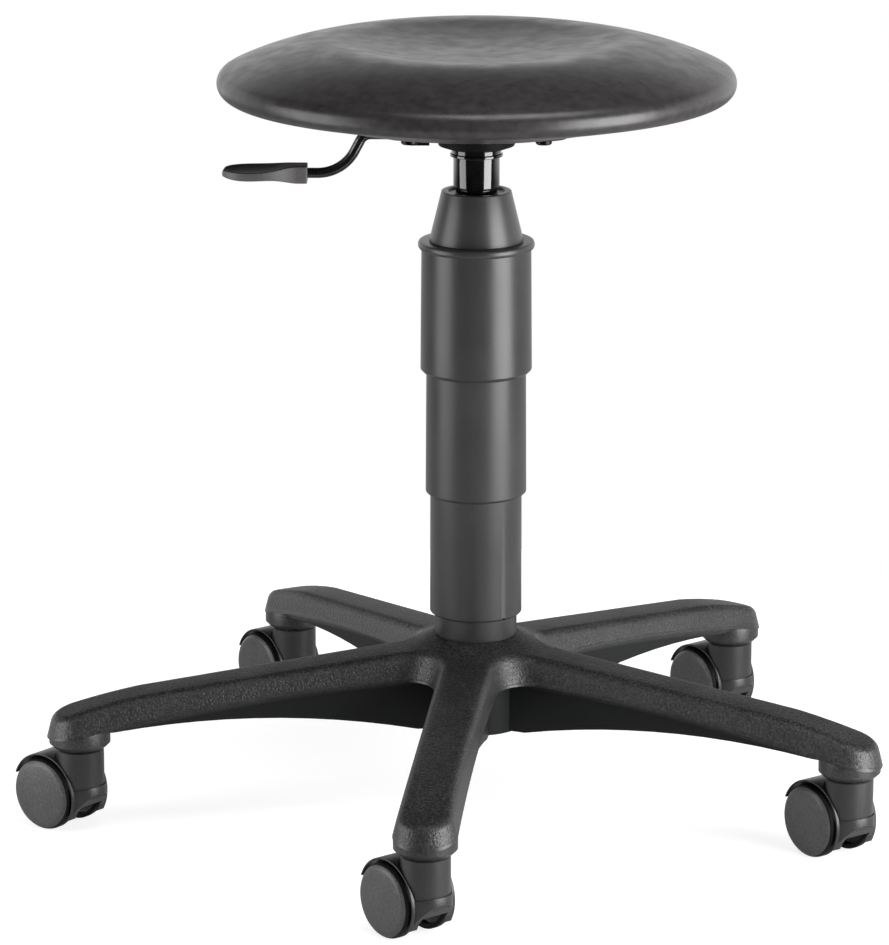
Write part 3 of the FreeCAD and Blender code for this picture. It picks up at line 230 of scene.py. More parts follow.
def sparkGrainNylon():
    # glass-filled nylon from a spark-eroded mould: coarse matt grain, with smooth lips, keels and sockets
    material, tree, shader, coords = startMaterial("sparkGrainNylon")
    flat = computeVector(tree, "MULTIPLY", coords, (1, 1, 0))[0]
    square = computeVector(tree, "DOT_PRODUCT", flat, flat)["Value"]
    drop = compute(tree, "MULTIPLY", square, -1 / (2 * mm(baseGrain["skirtCurve"])))
    edge = compute(tree, "ADD", drop, mm(baseGrain["skirtTop"] + baseGrain["lip"]))
    height = addNode(tree, "ShaderNodeSeparateXYZ", {"Vector": coords}).outputs["Z"]
    above = compute(tree, "SUBTRACT", height, edge)
    grained = rescale(tree, above, (0, mm(baseGrain["lipFade"])), (0, 1))
    coarse = addNode(tree, "ShaderNodeTexNoise", {
        "Vector": coords, "Scale": 1000 / baseGrain["size"] / 2, "Detail": baseGrain["detail"],
        "Roughness": baseGrain["roughness"]}).outputs["Fac"]
    peaks = compute(tree, "MULTIPLY", coarse, grained)
    grain = relief(tree, compute(tree, "MULTIPLY_ADD", grained, baseGrain["step"], peaks), baseGrain["depth"])
    fine, _ = grainRelief(tree, coords, baseGrain["fineSize"], baseGrain["fineDepth"],
                          baseGrain["fineDetail"], grain)
    clouds = noise(tree, coords, baseGrain["clouds"], baseGrain["cloudDetail"])
    # painted shade: keels and hub, under the arms' lips, are painted darker and reflect less, as the arms'
    # shadow
    underLipShade = rescale(tree, above, [mm(fade - baseGrain["lip"]) for fade in baseGrain["underFade"]], (1, 0))
    near = rescale(tree, square, [mm(radius) ** 2 for radius in baseGrain["underReach"]], (1, 0))
    shade = compute(tree, "MULTIPLY", underLipShade, near)
    both = mix(tree, "FLOAT", baseGrain["cloudShare"], coarse, clouds)
    tone = mix(tree, "RGBA", shade, ramp(tree, both, baseGrain["tone"]), toLinear(baseGrain["under"]))
    # painted shade: upward faces get almost no reflection, so the arms' tops stay darker than their sides
    facing = addNode(tree, "ShaderNodeTexCoord").outputs["Normal"]
    upward = addNode(tree, "ShaderNodeSeparateXYZ", {"Vector": facing}).outputs["Z"]
    shineByFacing = rescale(tree, upward, baseGrain["upward"], (baseGrain["shine"], baseGrain["shadedTopShine"]))
    feed(tree, shader, {
        "Base Color": tone, "Roughness": baseGrain["rough"], "Normal": fine, "IOR": baseGrain["index"],
        "Specular IOR Level": mix(tree, "FLOAT", shade, shineByFacing, baseGrain["underShine"])})
    return material


enamel = {"peel": 2.2, "peelDepth": 0.006, "peelDetail": 1.0, "peelSpan": (0.3, 0.7), "light": "#0c0c0d",
          "dust": 400.0, "dustDetail": 2.0, "dustShares": (0.8, 1.3),
          "index": 1.55, "coat": 0.3, "coatRough": 0.05}


def blackEnamel(name, colour, rough):
    # stoved black enamel on steel tube: deep gloss with a trace of orange peel
    material, tree, shader, coords = startMaterial(name)
    normal, peel = grainRelief(tree, coords, enamel["peel"], enamel["peelDepth"], enamel["peelDetail"])
    dust = noise(tree, coords, enamel["dust"], enamel["dustDetail"])
    feed(tree, shader, {
        "Roughness": rescale(tree, dust, noiseSpan, [rough * share for share in enamel["dustShares"]]),
        "Base Color": ramp(tree, peel, list(zip(enamel["peelSpan"], (colour, enamel["light"])))),
        "Normal": normal, "IOR": enamel["index"],
        "Coat Weight": enamel["coat"], "Coat Roughness": enamel["coatRough"]})
    return material


zinc = {"lines": 900.0, "waver": 1.2, "lineDetail": 2.0, "lineDepth": 0.01, "lineStrength": 0.6,
        "clouds": 120.0, "cloudDetail": 4.0, "uneven": 0.06}


def zincPlate(name, dark, light, rough):
    # zinc-plated turned steel: fine turning lines and soft cloudy tone
    material, tree, shader, coords = startMaterial(name)
    inputs = {"Vector": coords, "Scale": zinc["lines"], "Distortion": zinc["waver"],
              "Detail": zinc["lineDetail"]}
    lines = addNode(tree, "ShaderNodeTexWave", inputs, bands_direction="Z").outputs["Fac"]
    clouds = noise(tree, coords, zinc["clouds"], zinc["cloudDetail"])
    feed(tree, shader, {
        "Base Color": ramp(tree, clouds, [(noiseSpan[0], dark), (noiseSpan[1], light)]),
        "Roughness": rescale(tree, clouds, noiseSpan, spread(rough, zinc["uneven"])),
        "Normal": relief(tree, lines, zinc["lineDepth"], strength=zinc["lineStrength"]), "Metallic": 1.0})
    return material


ply = {"stretch": (6.0, 90.0, 90.0), "grain": 4.0, "grainDetail": 6.0,
       "flecks": 14.0, "fleckDetail": 2.0, "fleckShare": 0.35,
       "tone": [(0.35, "#8e6a44"), (0.5, "#b8925f"), (0.65, "#cba876")],
       "depth": 0.05, "strength": 0.5, "rough": 0.55}


def beechPlywood():
    # moulded beech ply: pale straight grain with short dark flecks
    material, tree, shader, coords = startMaterial("beechPlywood")
    along = addNode(tree, "ShaderNodeMapping", {"Vector": coords, "Scale": ply["stretch"]}).outputs[0]
    grain = noise(tree, along, ply["grain"], ply["grainDetail"])
    flecks = noise(tree, along, ply["flecks"], ply["fleckDetail"])
    both = mix(tree, "FLOAT", ply["fleckShare"], grain, flecks)
    feed(tree, shader, {
        "Base Color": ramp(tree, both, ply["tone"]), "Roughness": ply["rough"],
        "Normal": relief(tree, both, ply["depth"], strength=ply["strength"])})
    return material


rubber = {"grain": 0.8, "depth": 0.03, "tone": [(0.3, "#121212"), (0.7, "#1f1f1e")], "rough": 0.75}


def softRubber():
    # moulded nitrile rubber: black, matt and slightly dusty
    material, tree, shader, coords = startMaterial("nitrileRubber")
    normal, fine = grainRelief(tree, coords, rubber["grain"], rubber["depth"])
    feed(tree, shader, {
        "Base Color": ramp(tree, fine, rubber["tone"]), "Normal": normal, "Roughness": rubber["rough"]})
    return material


vinylMaterial = upholsteryVinyl()
coverMaterial = mouldedPlastic("coverPolypropylene", "#2c2b2b", "#343333", grain=0.45, depth=0.02, rough=0.36)
housingMaterial = mouldedPlastic("castorHousingNylon", "#252425", "#302f30", grain=0.6, depth=0.05,
                                 rough=0.36)
wheelMaterial = mouldedPlastic("castorWheelNylon", "#3b3a3b", "#575556", grain=0.9, depth=0.2, rough=0.4)
# black tyre; its black also reaches towards the face as painted shade of the gap under the hood
treadAndGapShadeMaterial = mouldedPlastic("wheelTread", "#060606", "#0b0b0b", grain=0.6, depth=0.04, rough=0.5,
                               shine=0.2)
gripMaterial = mouldedPlastic("leverGripNylon", "#454344", "#545152", grain=0.5, depth=0.05, rough=0.5)
# painted shade: a near-black, barely reflecting copy of the grip's plastic for its upward faces
gripShadedTopMaterial = mouldedPlastic("leverGripShadedTop", "#080809", "#101011", grain=0.5, depth=0.03, rough=0.5,
                             shine=0.02)
bushMaterial = mouldedPlastic("acetalBush", "#1a1a1a", "#222222", grain=0.6, depth=0.02, rough=0.4)
baseMaterial = sparkGrainNylon()
enamelMaterial = blackEnamel("stovedEnamel", "#050506", rough=0.09)
leverMaterial = blackEnamel("leverEnamel", "#0a0a0a", rough=0.22)
# black enamel on the pressed steel, as even as the plastics; made matt and barely reflecting as painted shade
# of the seat's shadow over it
plateShadedMaterial = mouldedPlastic("pressedPlateShadedEnamel", "#050505", "#0a0a0b", grain=0.6, depth=0.02, rough=0.5,
                               shine=0.1)
zincMaterial = zincPlate("zincPlatedSteel", "#8d9095", "#b9bcc0", rough=0.34)
screwMaterial = zincPlate("blackZincScrews", "#1c1c1e", "#2b2b2e", rough=0.36)
plyMaterial = beechPlywood()
rubberMaterial = softRubber()
print("materials made")


def selectOnly(obj):
    if bpy.context.object and bpy.context.object.mode != "OBJECT":
        bpy.ops.object.mode_set(mode="OBJECT")
    bpy.ops.object.select_all(action="DESELECT")
    obj.select_set(True)
    bpy.context.view_layer.objects.active = obj


def ownCopy(obj):
    # a copy with its own mesh
    copied = obj.copy()
    copied.data = obj.data.copy()
    bpy.context.scene.collection.objects.link(copied)
    return copied


def middleOf(low, high):
    return (Vector(low) + Vector(high)) / 2


def finishPiece(obj, name, material, body, replaced, smoothAngle=32):
    selectOnly(obj)
    bpy.ops.object.transform_apply(location=True, rotation=True, scale=True)
    bpy.ops.object.shade_smooth_by_angle(angle=math.radians(smoothAngle))
    obj.name = name
    obj.data.name = name
    obj.data.materials.clear()
    obj.data.materials.append(material)
    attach(obj, body)
    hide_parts(*replaced)


weld = 0.001  # points closer than this are one


def turnedShell(rings, sides, closed=False, capStart=False):
    # rings are (radius, height) in mm, followed in order; a last radius of 0 closes the end
    bpy.ops.object.select_all(action="DESELECT")
    radius, height = rings[0]
    bpy.ops.mesh.primitive_circle_add(vertices=sides, radius=mm(radius), fill_type="NOTHING",
                                      location=(0, 0, mm(height)))
    obj = bpy.context.object
    bpy.ops.object.transform_apply(location=True)
    bpy.ops.object.mode_set(mode="EDIT")
    bpy.ops.mesh.select_all(action="SELECT")
    for nextRadius, nextHeight in rings[1:] + ([rings[0]] if closed else []):
        bpy.ops.mesh.extrude_region_move(TRANSFORM_OT_translate={"value": (0, 0, mm(nextHeight - height))})
        if nextRadius == 0:
            bpy.ops.mesh.merge(type="CENTER")
            break
        grow = nextRadius / radius
        bpy.ops.transform.resize(value=(grow, grow, 1), center_override=(0, 0, mm(nextHeight)))
        radius, height = nextRadius, nextHeight
    if capStart:
        bpy.ops.mesh.select_all(action="DESELECT")
        bpy.ops.mesh.select_non_manifold()
        bpy.ops.mesh.edge_face_add()
    bpy.ops.mesh.select_all(action="SELECT")
    bpy.ops.mesh.remove_doubles(threshold=mm(weld))
    bpy.ops.mesh.normals_make_consistent(inside=False)
    bpy.ops.object.mode_set(mode="OBJECT")
    return obj


def arcRings(start, end, radius, side, steps):
    # points on an arc from start (left out) to end, round a centre on the given side of the way
    sx, sz = start
    ex, ez = end
    dx, dz = ex - sx, ez - sz
    chord = math.hypot(dx, dz)
    rise = math.sqrt(max(radius ** 2 - (chord / 2) ** 2, 0)) / chord * (1 if side == "left" else -1)
    cx, cz = sx + dx / 2 - dz * rise, sz + dz / 2 + dx * rise
    first = math.atan2(sz - cz, sx - cx)
    turn = math.remainder(math.atan2(ez - cz, ex - cx) - first, 2 * math.pi)
    angles = [first + turn * step / steps for step in range(1, steps + 1)]
    return [(cx + radius * math.cos(angle), cz + radius * math.sin(angle)) for angle in angles]


def bevelEdges(obj, width, segments=3, angle=28):
    selectOnly(obj)
    bevel = obj.modifiers.new("softEdges", "BEVEL")
    bevel.width = mm(width)
    bevel.segments = segments
    bevel.limit_method = "ANGLE"
    bevel.angle_limit = math.radians(angle)
    bpy.ops.object.modifier_apply(modifier=bevel.name)


def refine(obj, levels):
    selectOnly(obj)
    fine = obj.modifiers.new("fine", "SUBSURF")
    fine.levels = fine.render_levels = levels
    bpy.ops.object.modifier_apply(modifier=fine.name)


def carve(obj, cutter):
    selectOnly(cutter)
    bpy.ops.object.transform_apply(location=True, rotation=True, scale=True)
    selectOnly(obj)
    cut = obj.modifiers.new("cut", "BOOLEAN")
    cut.operation = "DIFFERENCE"
    cut.object = cutter
    bpy.ops.object.modifier_apply(modifier=cut.name)
    bpy.data.objects.remove(cutter)


def addBox(low, high, turn=0.0):
    bpy.ops.object.select_all(action="DESELECT")
    bpy.ops.mesh.primitive_cube_add(size=1, location=mm(middleOf(low, high)), rotation=(0, 0, turn))
    box = bpy.context.object
    box.scale = mm(Vector(high) - Vector(low))
    return box


def addDrum(radius, low, high, centre, axis, sides):
    # a cylinder from low to high along Y or Z
    bpy.ops.object.select_all(action="DESELECT")
    middle = (low + high) / 2
    place = (centre[0], middle, centre[1]) if axis == "Y" else (centre[0], centre[1], middle)
    turn = (math.pi / 2 if axis == "Y" else 0, 0, 0)
    bpy.ops.mesh.primitive_cylinder_add(vertices=sides, radius=mm(radius), depth=mm(high - low),
                                        location=mm(Vector(place)), rotation=turn)
    drum = bpy.context.object
    bpy.ops.object.transform_apply(location=True, rotation=True, scale=True)
    return drum


def joinAll(pieces):
    selectOnly(pieces[0])
    for piece in pieces:
        piece.select_set(True)
    bpy.ops.object.join()
    return pieces[0]


cushion = {
    "sides": 144,
    "start": [(72.6, 483.4), (72.6, 481.6)],
    "arcs": [  # end, curve, side of the centre, steps
        ((165.5, 498.1), 900, "left", 14),    # underside
        ((168.5, 516.2), 9.45, "left", 12),   # rim
        ((108, 534.35), 225, "left", 12),     # crown
        ((84, 533.75), 80, "left", 6),        # crest
        ((8, 527.21), 538, "right", 9),       # dish
    ],
    "bottom": (0, 527.15),  # of the dish
    "voxel": 5.0, "pressure": 4.0, "quality": 5, "steps": 20,
    "heldHeight": 488, "heldRadius": 100,     # stapled under the board
    "cap": 0.8, "spread": 24,                 # most that it swells, and how many points are averaged
}


def swellingOf(shell):
    # where the points of a coarse copy lie before and after its padding swells
    padding = ownCopy(shell)
    padding.data.remesh_voxel_size = mm(cushion["voxel"])
    selectOnly(padding)
    bpy.ops.object.voxel_remesh()
    rest = [vertex.co.copy() for vertex in padding.data.vertices]
    held = [index for index, place in enumerate(rest) if place.z < mm(cushion["heldHeight"])
            and math.hypot(place.x, place.y) < mm(cushion["heldRadius"])]
    padding.vertex_groups.new(name="stapled").add(held, 1.0, "REPLACE")
    cloth = padding.modifiers.new("cloth", "CLOTH")
    cloth.settings.use_pressure = True
    cloth.settings.uniform_pressure_force = cushion["pressure"]
    cloth.settings.effector_weights.gravity = 0
    cloth.settings.vertex_group_mass = "stapled"
    cloth.settings.quality = cushion["quality"]
    cloth.point_cache.frame_start = 1
    cloth.point_cache.frame_end = cushion["steps"]
    for step in range(1, cushion["steps"] + 1):
        bpy.context.scene.frame_set(step)
    graph = bpy.context.evaluated_depsgraph_get()
    swollen = [vertex.co.copy() for vertex in padding.evaluated_get(graph).data.vertices]
    bpy.context.scene.frame_set(1)
    bpy.data.objects.remove(padding)
    return rest, swollen


def swellShell(shell):
    # each point of the clean shell takes on the capped swelling near it
    rest, swollen = swellingOf(shell)
    near = KDTree(len(rest))
    for index, place in enumerate(rest):
        near.insert(place, index)
    near.balance()
    cap = mm(cushion["cap"])
    for vertex in shell.data.vertices:
        move, total = Vector((0, 0, 0)), 0.0
        for place, index, distance in near.find_n(vertex.co, cushion["spread"]):
            weight = 1 / (distance + mm(cushion["voxel"]))
            swelling = swollen[index] - rest[index]
            move += swelling * weight * (min(1.0, cap / swelling.length) if swelling.length > 0 else 1.0)
            total += weight
        vertex.co += move / total


def makeCushion():
    rings = list(cushion["start"])
    for end, curve, side, steps in cushion["arcs"]:
        rings += arcRings(rings[-1], end, curve, side, steps)
    shell = turnedShell(rings + [cushion["bottom"]], cushion["sides"], capStart=True)
    swellShell(shell)
    refine(shell, levels=1)
    finishPiece(shell, "seatCushion", vinylMaterial, "seat", ["seat_cushion"], smoothAngle=60)


makeCushion()
print("cushion made")

cover = {
    "sides": 128, "softEdge": 0.35, "coneEdge": 0.6,
    "wall": 1.9, "lipHeight": 3.5, "beadHeight": 3.0,
    "ring": [(25.1, 124.6), (28.15, 124.6), (28.15, 224), (25.1, 224)],
    "lower": {"lip": 28.45, "bottom": 139.5, "radius": 31.5, "chamfer": 1.2,
              "topRadius": 31.15, "top": 254, "bead": 0.6},
    "middle": {"lip": 31.65, "bottom": 223.9, "radius": 34.4, "chamfer": 1.7,
               "topRadius": 33.7, "top": 343.1, "bead": 1.2},
    "topOutside": [(34.65, 308.8), (35.35, 308.8), (37.85, 311.3), (37.15, 394.4), (38.2, 394.4)],
    "topRim": [(39.45, 397.4), (38.5, 399.6)], "rimCurve": 3.4, "rimSteps": 4,
    "topInside": [(29, 399.6), (29, 396.6), (35.25, 396.6), (35.95, 312.3), (34.65, 312.3)],
    "cone": [(27.05, 395.1), (28.98, 395.1), (28.98, 399.6), (31.9, 399.6), (23.55, 433.9), (19, 433.9),
             (19, 432.4), (14.06, 432.4), (14.06, 430), (21.65, 430), (30, 401.1), (27.05, 399.6)],
    "notchReach": 31, "notchTurn": -46.0,
    "notchLength": 8, "notchWidth": 2.4, "notchHeight": 1.8, "notchBelow": 1,
}


def sleeveRings(lip, bottom, radius, chamfer, topRadius, top, bead):
    # a sleeve with an inward lip at its foot and a bead round its top
    inside, lipTop, beadFoot = cover["wall"], bottom + cover["lipHeight"], top - cover["beadHeight"]
    return [(lip, bottom), (radius - chamfer, bottom), (radius, bottom + chamfer), (topRadius, beadFoot),
            (topRadius + bead, beadFoot), (topRadius + bead, top), (topRadius - inside, top),
            (radius - inside, lipTop), (lip, lipTop)]


def cutNotch(sleeve):
    # small drain notch in the foot of the lower section
    turn, reach, bottom = math.radians(cover["notchTurn"]), cover["notchReach"], cover["lower"]["bottom"]
    middle = Vector((reach * math.cos(turn), reach * math.sin(turn), bottom))
    low = middle - Vector((cover["notchLength"] / 2, cover["notchWidth"] / 2, cover["notchBelow"]))
    high = middle + Vector((cover["notchLength"] / 2, cover["notchWidth"] / 2, cover["notchHeight"]))
    carve(sleeve, addBox(low, high, turn))


def makeCover():
    top = list(cover["topOutside"])
    for end in cover["topRim"]:
        top += arcRings(top[-1], end, cover["rimCurve"], "left", cover["rimSteps"])
    top += cover["topInside"]
    lower, middle, soft = sleeveRings(**cover["lower"]), sleeveRings(**cover["middle"]), cover["softEdge"]
    for name, rings, edge, body, node in (
            ("coverBaseRing", cover["ring"], soft, "root", "cover_base_ring"),
            ("coverLowerSection", lower, soft, "lower_cover", "cover_lower_section"),
            ("coverMiddleSection", middle, soft, "middle_cover", "cover_middle_section"),
            ("coverTopSection", top, soft, "column", "cover_top_section"),
            ("coverCone", cover["cone"], cover["coneEdge"], "column", "cover_cone")):
        sleeve = turnedShell(rings, cover["sides"], closed=True)
        bevelEdges(sleeve, edge)
        if rings is lower:
            cutNotch(sleeve)
        finishPiece(sleeve, name, coverMaterial, body, [node])


makeCover()
print("cover made")

head = {
    "sides": 128, "tubeEdge": 0.5, "socketEdge": 0.4,
    "tube": [(12.2, 192), (14, 192), (14, 436), (13.2, 464), (4.06, 464), (4.06, 456), (12.2, 456)],
    "socket": [(14.02, 436), (15.7, 436), (15.7, 464.6), (13.22, 464.6), (13.22, 464)],
    "collar": [(15.72, 457.6), (17.9, 457.6), (17.9, 459.6), (16.8, 459.6), (16.8, 463.1), (15.72, 463.1)],
}


def makeHead():
    # pressure tube, its conical socket under the seat and the pressed collar
    for name, rings, edge, body, node in (
            ("pressureTube", head["tube"], head["tubeEdge"], "column", "pressure_tube"),
            ("coneSocket", head["socket"], head["socketEdge"], "seat", "cone_socket"),
            ("socketCollar", head["collar"], head["socketEdge"], "seat", "socket_collar")):
        piece = turnedShell(rings, head["sides"], closed=True)
        bevelEdges(piece, edge)
        finishPiece(piece, name, enamelMaterial, body, [node])


makeHead()
print("column head made")

places = ("front", "right", "back_right", "back_left", "left")  # of the castors

wheel = {
    "sides": 96, "edge": 0.35,
    "inside": [(4.06, 18.3), (4.06, 5.3), (7.2, 5.3), (7.2, 17.5), (22, 17.5), (22, 12), (25, 12), (25, 16)],
    "arcs": [((20, 21.4), 5.5, 8), ((1.2, 22.197), 250.4, 5)],  # rounded rim, then the crowned face
    "middle": (0, 22.2),
    # faces that take the black: the real tyre, widened towards the face as painted shade of the gap under the
    # hood
    "treadRadius": 23.7, "treadShadeReach": 16.6,
}


def makeWheels():
    rings = list(wheel["inside"])
    for end, curve, steps in wheel["arcs"]:
        rings += arcRings(rings[-1], end, curve, "left", steps)
    master = turnedShell(rings + [wheel["middle"]], wheel["sides"], capStart=True)
    bevelEdges(master, wheel["edge"])
    treadAndShadeFaces = [face.index for face in master.data.polygons if face.center.z < mm(wheel["treadShadeReach"])
             or math.hypot(face.center.x, face.center.y) > mm(wheel["treadRadius"])]
    for place in places:
        centre = middleOf(*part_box(f"castor_{place}_axle"))
        for side in ("left", "right"):
            axis = middleOf(*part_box(f"castor_{place}_wheel_{side}")) - centre
            axis.z = 0
            piece = ownCopy(master)
            piece.rotation_mode = "QUATERNION"
            piece.rotation_quaternion = axis.to_track_quat("Z", "Y")
            piece.location = centre
            finishPiece(piece, f"castorWheel_{place}_{side}", wheelMaterial, f"wheel_{place}_{side}",
                        [f"castor_{place}_wheel_{side}"])
            piece.data.materials.append(treadAndGapShadeMaterial)
            for index in treadAndShadeFaces:
                piece.data.polygons[index].material_index = 1
    bpy.data.objects.remove(master)


makeWheels()
print("wheels made")

housing = {
    "radius": 28.0, "wall": 1.2, "half": 17.4, "rim": 0.4,   # hood over both wheels
    "web": 3.0, "webStart": 1.0, "webSink": 0.5,             # plate between the wheels
    "below": 32.0, "above": 158.0, "sweepSteps": 72,         # sweep of both, in degrees from the level
    "reach": 19.3,                                           # axle to the castor's upright axis
    "neck": 16.3, "neckFoot": 0.0, "neckTop": 33.2, "neckEdge": 0.8, "neckSink": 0.2, "neckSides": 128,
    "slot": 0.8, "slotTop": 40.0,                            # slit round the neck
    "apronHalf": 16.3, "apronEnd": 25.0, "apronCurve": 16.95, "apronSteps": 24, "apronSides": 144,
    "underTurn": 50, "underX": 31.5, "underZ": -3.5,         # slope that trims the apron from below
    "notchHalf": 10.5, "notchTop": -6.0, "notchBottom": -30.0, "notchBack": 6.0, "notchFront": 22.0,
    "wheelSpace": 25.0, "spaceSides": 144, "beyond": 60.0,
}


def sweptPlate(inner, outer, half):
    # a flat section swept about the axle, from below the neck over the wheels
    bpy.ops.object.select_all(action="DESELECT")
    start, finish = math.radians(-housing["below"]), math.radians(housing["above"])
    middle = (inner + outer) / 2
    place = mm(Vector((middle * math.cos(start), 0, middle * math.sin(start))))
    bpy.ops.mesh.primitive_plane_add(size=1, location=place, rotation=(0, -start, 0))
    plate = bpy.context.object
    plate.scale = (mm(outer - inner), mm(2 * half), 1)
    bpy.ops.object.transform_apply(location=True, rotation=True, scale=True)
    bpy.ops.object.mode_set(mode="EDIT")
    bpy.ops.mesh.select_all(action="SELECT")
    bpy.ops.mesh.spin(steps=housing["sweepSteps"], angle=finish - start, center=(0, 0, 0), axis=(0, 1, 0))
    bpy.ops.mesh.select_all(action="SELECT")
    bpy.ops.mesh.fill_holes(sides=0)
    bpy.ops.mesh.normals_make_consistent(inside=False)
    bpy.ops.object.mode_set(mode="OBJECT")
    return plate


def addNotch():
    # the opening under the neck
    reach, half = housing["reach"], housing["notchHalf"]
    return addBox((reach - housing["notchBack"], -half, housing["notchBottom"]),
                  (reach + housing["notchFront"], half, housing["notchTop"]))


def addSlot():
    return addDrum(housing["neck"] + housing["slot"], housing["neckFoot"], housing["slotTop"],
                   (housing["reach"], 0), "Z", housing["neckSides"])


def clearWheels(piece):
    radius, web, end = housing["radius"] - housing["wall"], housing["web"], housing["wheelSpace"]
    for low, high in ((web, end), (-end, -web)):
        carve(piece, addDrum(radius, low, high, (0, 0), "Y", housing["spaceSides"]))


def makeHood():
    hood = sweptPlate(housing["radius"] - housing["wall"], housing["radius"], housing["half"])
    carve(hood, addNotch())
    bevelEdges(hood, housing["rim"])
    carve(hood, addSlot())
    return hood


def makeWeb():
    end = housing["radius"] - housing["wall"] + housing["webSink"]
    web = sweptPlate(housing["webStart"], end, housing["web"])
    carve(web, addNotch())
    return web


def makeApron():
    # rounded skirt below the neck, open towards the wheels
    half, end, beyond = housing["apronHalf"], housing["apronEnd"], housing["beyond"]
    barrel = arcRings((end, -half), (end, half), housing["apronCurve"], "left", housing["apronSteps"])
    apron = turnedShell([(end, -half)] + barrel + [(0, half)], housing["apronSides"], capStart=True)
    apron.rotation_euler.x = math.pi / 2
    selectOnly(apron)
    bpy.ops.object.transform_apply(rotation=True)
    carve(apron, addBox((-beyond, -beyond, -beyond), (housing["reach"], beyond, beyond)))
    under = addBox((-beyond, -beyond, -beyond), (beyond, beyond, 0))
    under.rotation_euler.y = math.radians(-housing["underTurn"])
    corner = mm(Vector((housing["underX"], 0, housing["underZ"])))
    under.location = under.rotation_euler.to_matrix() @ under.location + corner
    carve(apron, under)
    carve(apron, addSlot())
    carve(apron, addNotch())
    clearWheels(apron)
    return apron


def makeNeck():
    radius, top, edge = housing["neck"], housing["neckTop"], housing["neckEdge"]
    bottom = housing["neckFoot"] - housing["neckSink"]
    rings = [(radius, bottom), (radius, top - edge), (radius - edge, top), (0, top)]
    neck = turnedShell(rings, housing["neckSides"], capStart=True)
    neck.location.x = mm(housing["reach"])
    selectOnly(neck)
    bpy.ops.object.transform_apply(location=True)
    clearWheels(neck)
    return neck


def makeHousings():
    master = joinAll([makeHood(), makeWeb(), makeApron(), makeNeck()])
    for place in places:
        centre = middleOf(*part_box(f"castor_{place}_axle"))
        way = middleOf(*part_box(f"castor_{place}_stem")) - centre
        piece = ownCopy(master)
        piece.rotation_euler = (0, 0, math.atan2(way.y, way.x))
        piece.location = centre
        finishPiece(piece, f"castorHousing_{place}", housingMaterial, f"castor_{place}",
                    [f"castor_{place}_housing"])
    bpy.data.objects.remove(master)


makeHousings()
print("castor housings made")

grip = {
    "heading": 6.6, "root": 113.5, "cornerRound": 1.4, "bevelSegments": 2, "bevelAngle": 40, "cuts": 2,
    "stations": [  # reach, half width, top, bottom
        (122, 8.5, 451.3, 439.5), (128, 10.2, 450.9, 440.9), (135, 13.2, 449.8, 442.7),
        (143, 15.2, 449.0, 443.0), (151, 15.8, 448.8, 442.7), (159, 14.6, 448.8, 442.7),
        (165.5, 11.2, 448.8, 443.2), (169.6, 6.6, 448.4, 444.0), (171, 2.5, 447.4, 445.2)],
    "tilt": -3.0, "tiltSteps": 3, "tiltEnd": 144,
    "dish": 1.3, "dishStart": 132, "dishEnd": 167, "dishHalf": 6, "dishAbove": 447,
    "endFacing": 0.9, "shadedTopFacing": 0.5,
}


def makeGrip():
    # moulded paddle: a block on the rod's end drawn out into a thin, dished leaf
    at, wide, top, bottom = grip["stations"][0]
    leaf = addBox((-at, -wide, bottom), (-grip["root"], wide, top))
    bpy.ops.object.transform_apply(location=True, rotation=True, scale=True)
    bpy.ops.object.mode_set(mode="EDIT")
    bpy.ops.mesh.select_all(action="SELECT")
    bpy.ops.mesh.subdivide(number_cuts=grip["cuts"])
    bpy.ops.mesh.select_all(action="DESELECT")
    bpy.ops.object.mode_set(mode="OBJECT")
    for face in leaf.data.polygons:
        face.select = face.normal.x < -grip["endFacing"]
    bpy.ops.object.mode_set(mode="EDIT")
    high, middle = top - bottom, (top + bottom) / 2
    for reach, nextWide, nextTop, nextBottom in grip["stations"][1:]:
        nextHigh, nextMiddle = nextTop - nextBottom, (nextTop + nextBottom) / 2
        centre = (mm(-reach), 0, mm(nextMiddle))
        way = (mm(at - reach), 0, mm(nextMiddle - middle))
        tilt = grip["tilt"] / grip["tiltSteps"] if reach < grip["tiltEnd"] else 0
        bpy.ops.mesh.extrude_region_move(TRANSFORM_OT_translate={"value": way})
        bpy.ops.transform.resize(value=(1, nextWide / wide, nextHigh / high), center_override=centre)
        bpy.ops.transform.rotate(value=math.radians(tilt), orient_axis="X", center_override=centre)
        at, wide, high, middle = reach, nextWide, nextHigh, nextMiddle
    bpy.ops.object.mode_set(mode="OBJECT")
    for vertex in leaf.data.vertices:
        x, y, z = vertex.co
        vertex.select = (mm(-grip["dishEnd"]) < x < mm(-grip["dishStart"]) and abs(y) < mm(grip["dishHalf"])
                         and z > mm(grip["dishAbove"]))
    bpy.ops.object.mode_set(mode="EDIT")
    bpy.ops.transform.translate(value=(0, 0, mm(-grip["dish"])))
    bpy.ops.object.mode_set(mode="OBJECT")
    bevelEdges(leaf, grip["cornerRound"], grip["bevelSegments"], grip["bevelAngle"])
    refine(leaf, levels=2)
    leaf.rotation_euler.z = math.radians(grip["heading"])
    finishPiece(leaf, "leverGrip", gripMaterial, "lever", ["lever_grip"], smoothAngle=60)
    # painted shade: faces that look upward take the near-black copy
    leaf.data.materials.append(gripShadedTopMaterial)
    for face in leaf.data.polygons:
        if face.normal.z > grip["shadedTopFacing"]:
            face.material_index = 1


makeGrip()
print("grip made")

star = {"arms": 5, "armTurn": -162, "weld": 0.01, "seam": 0.02}


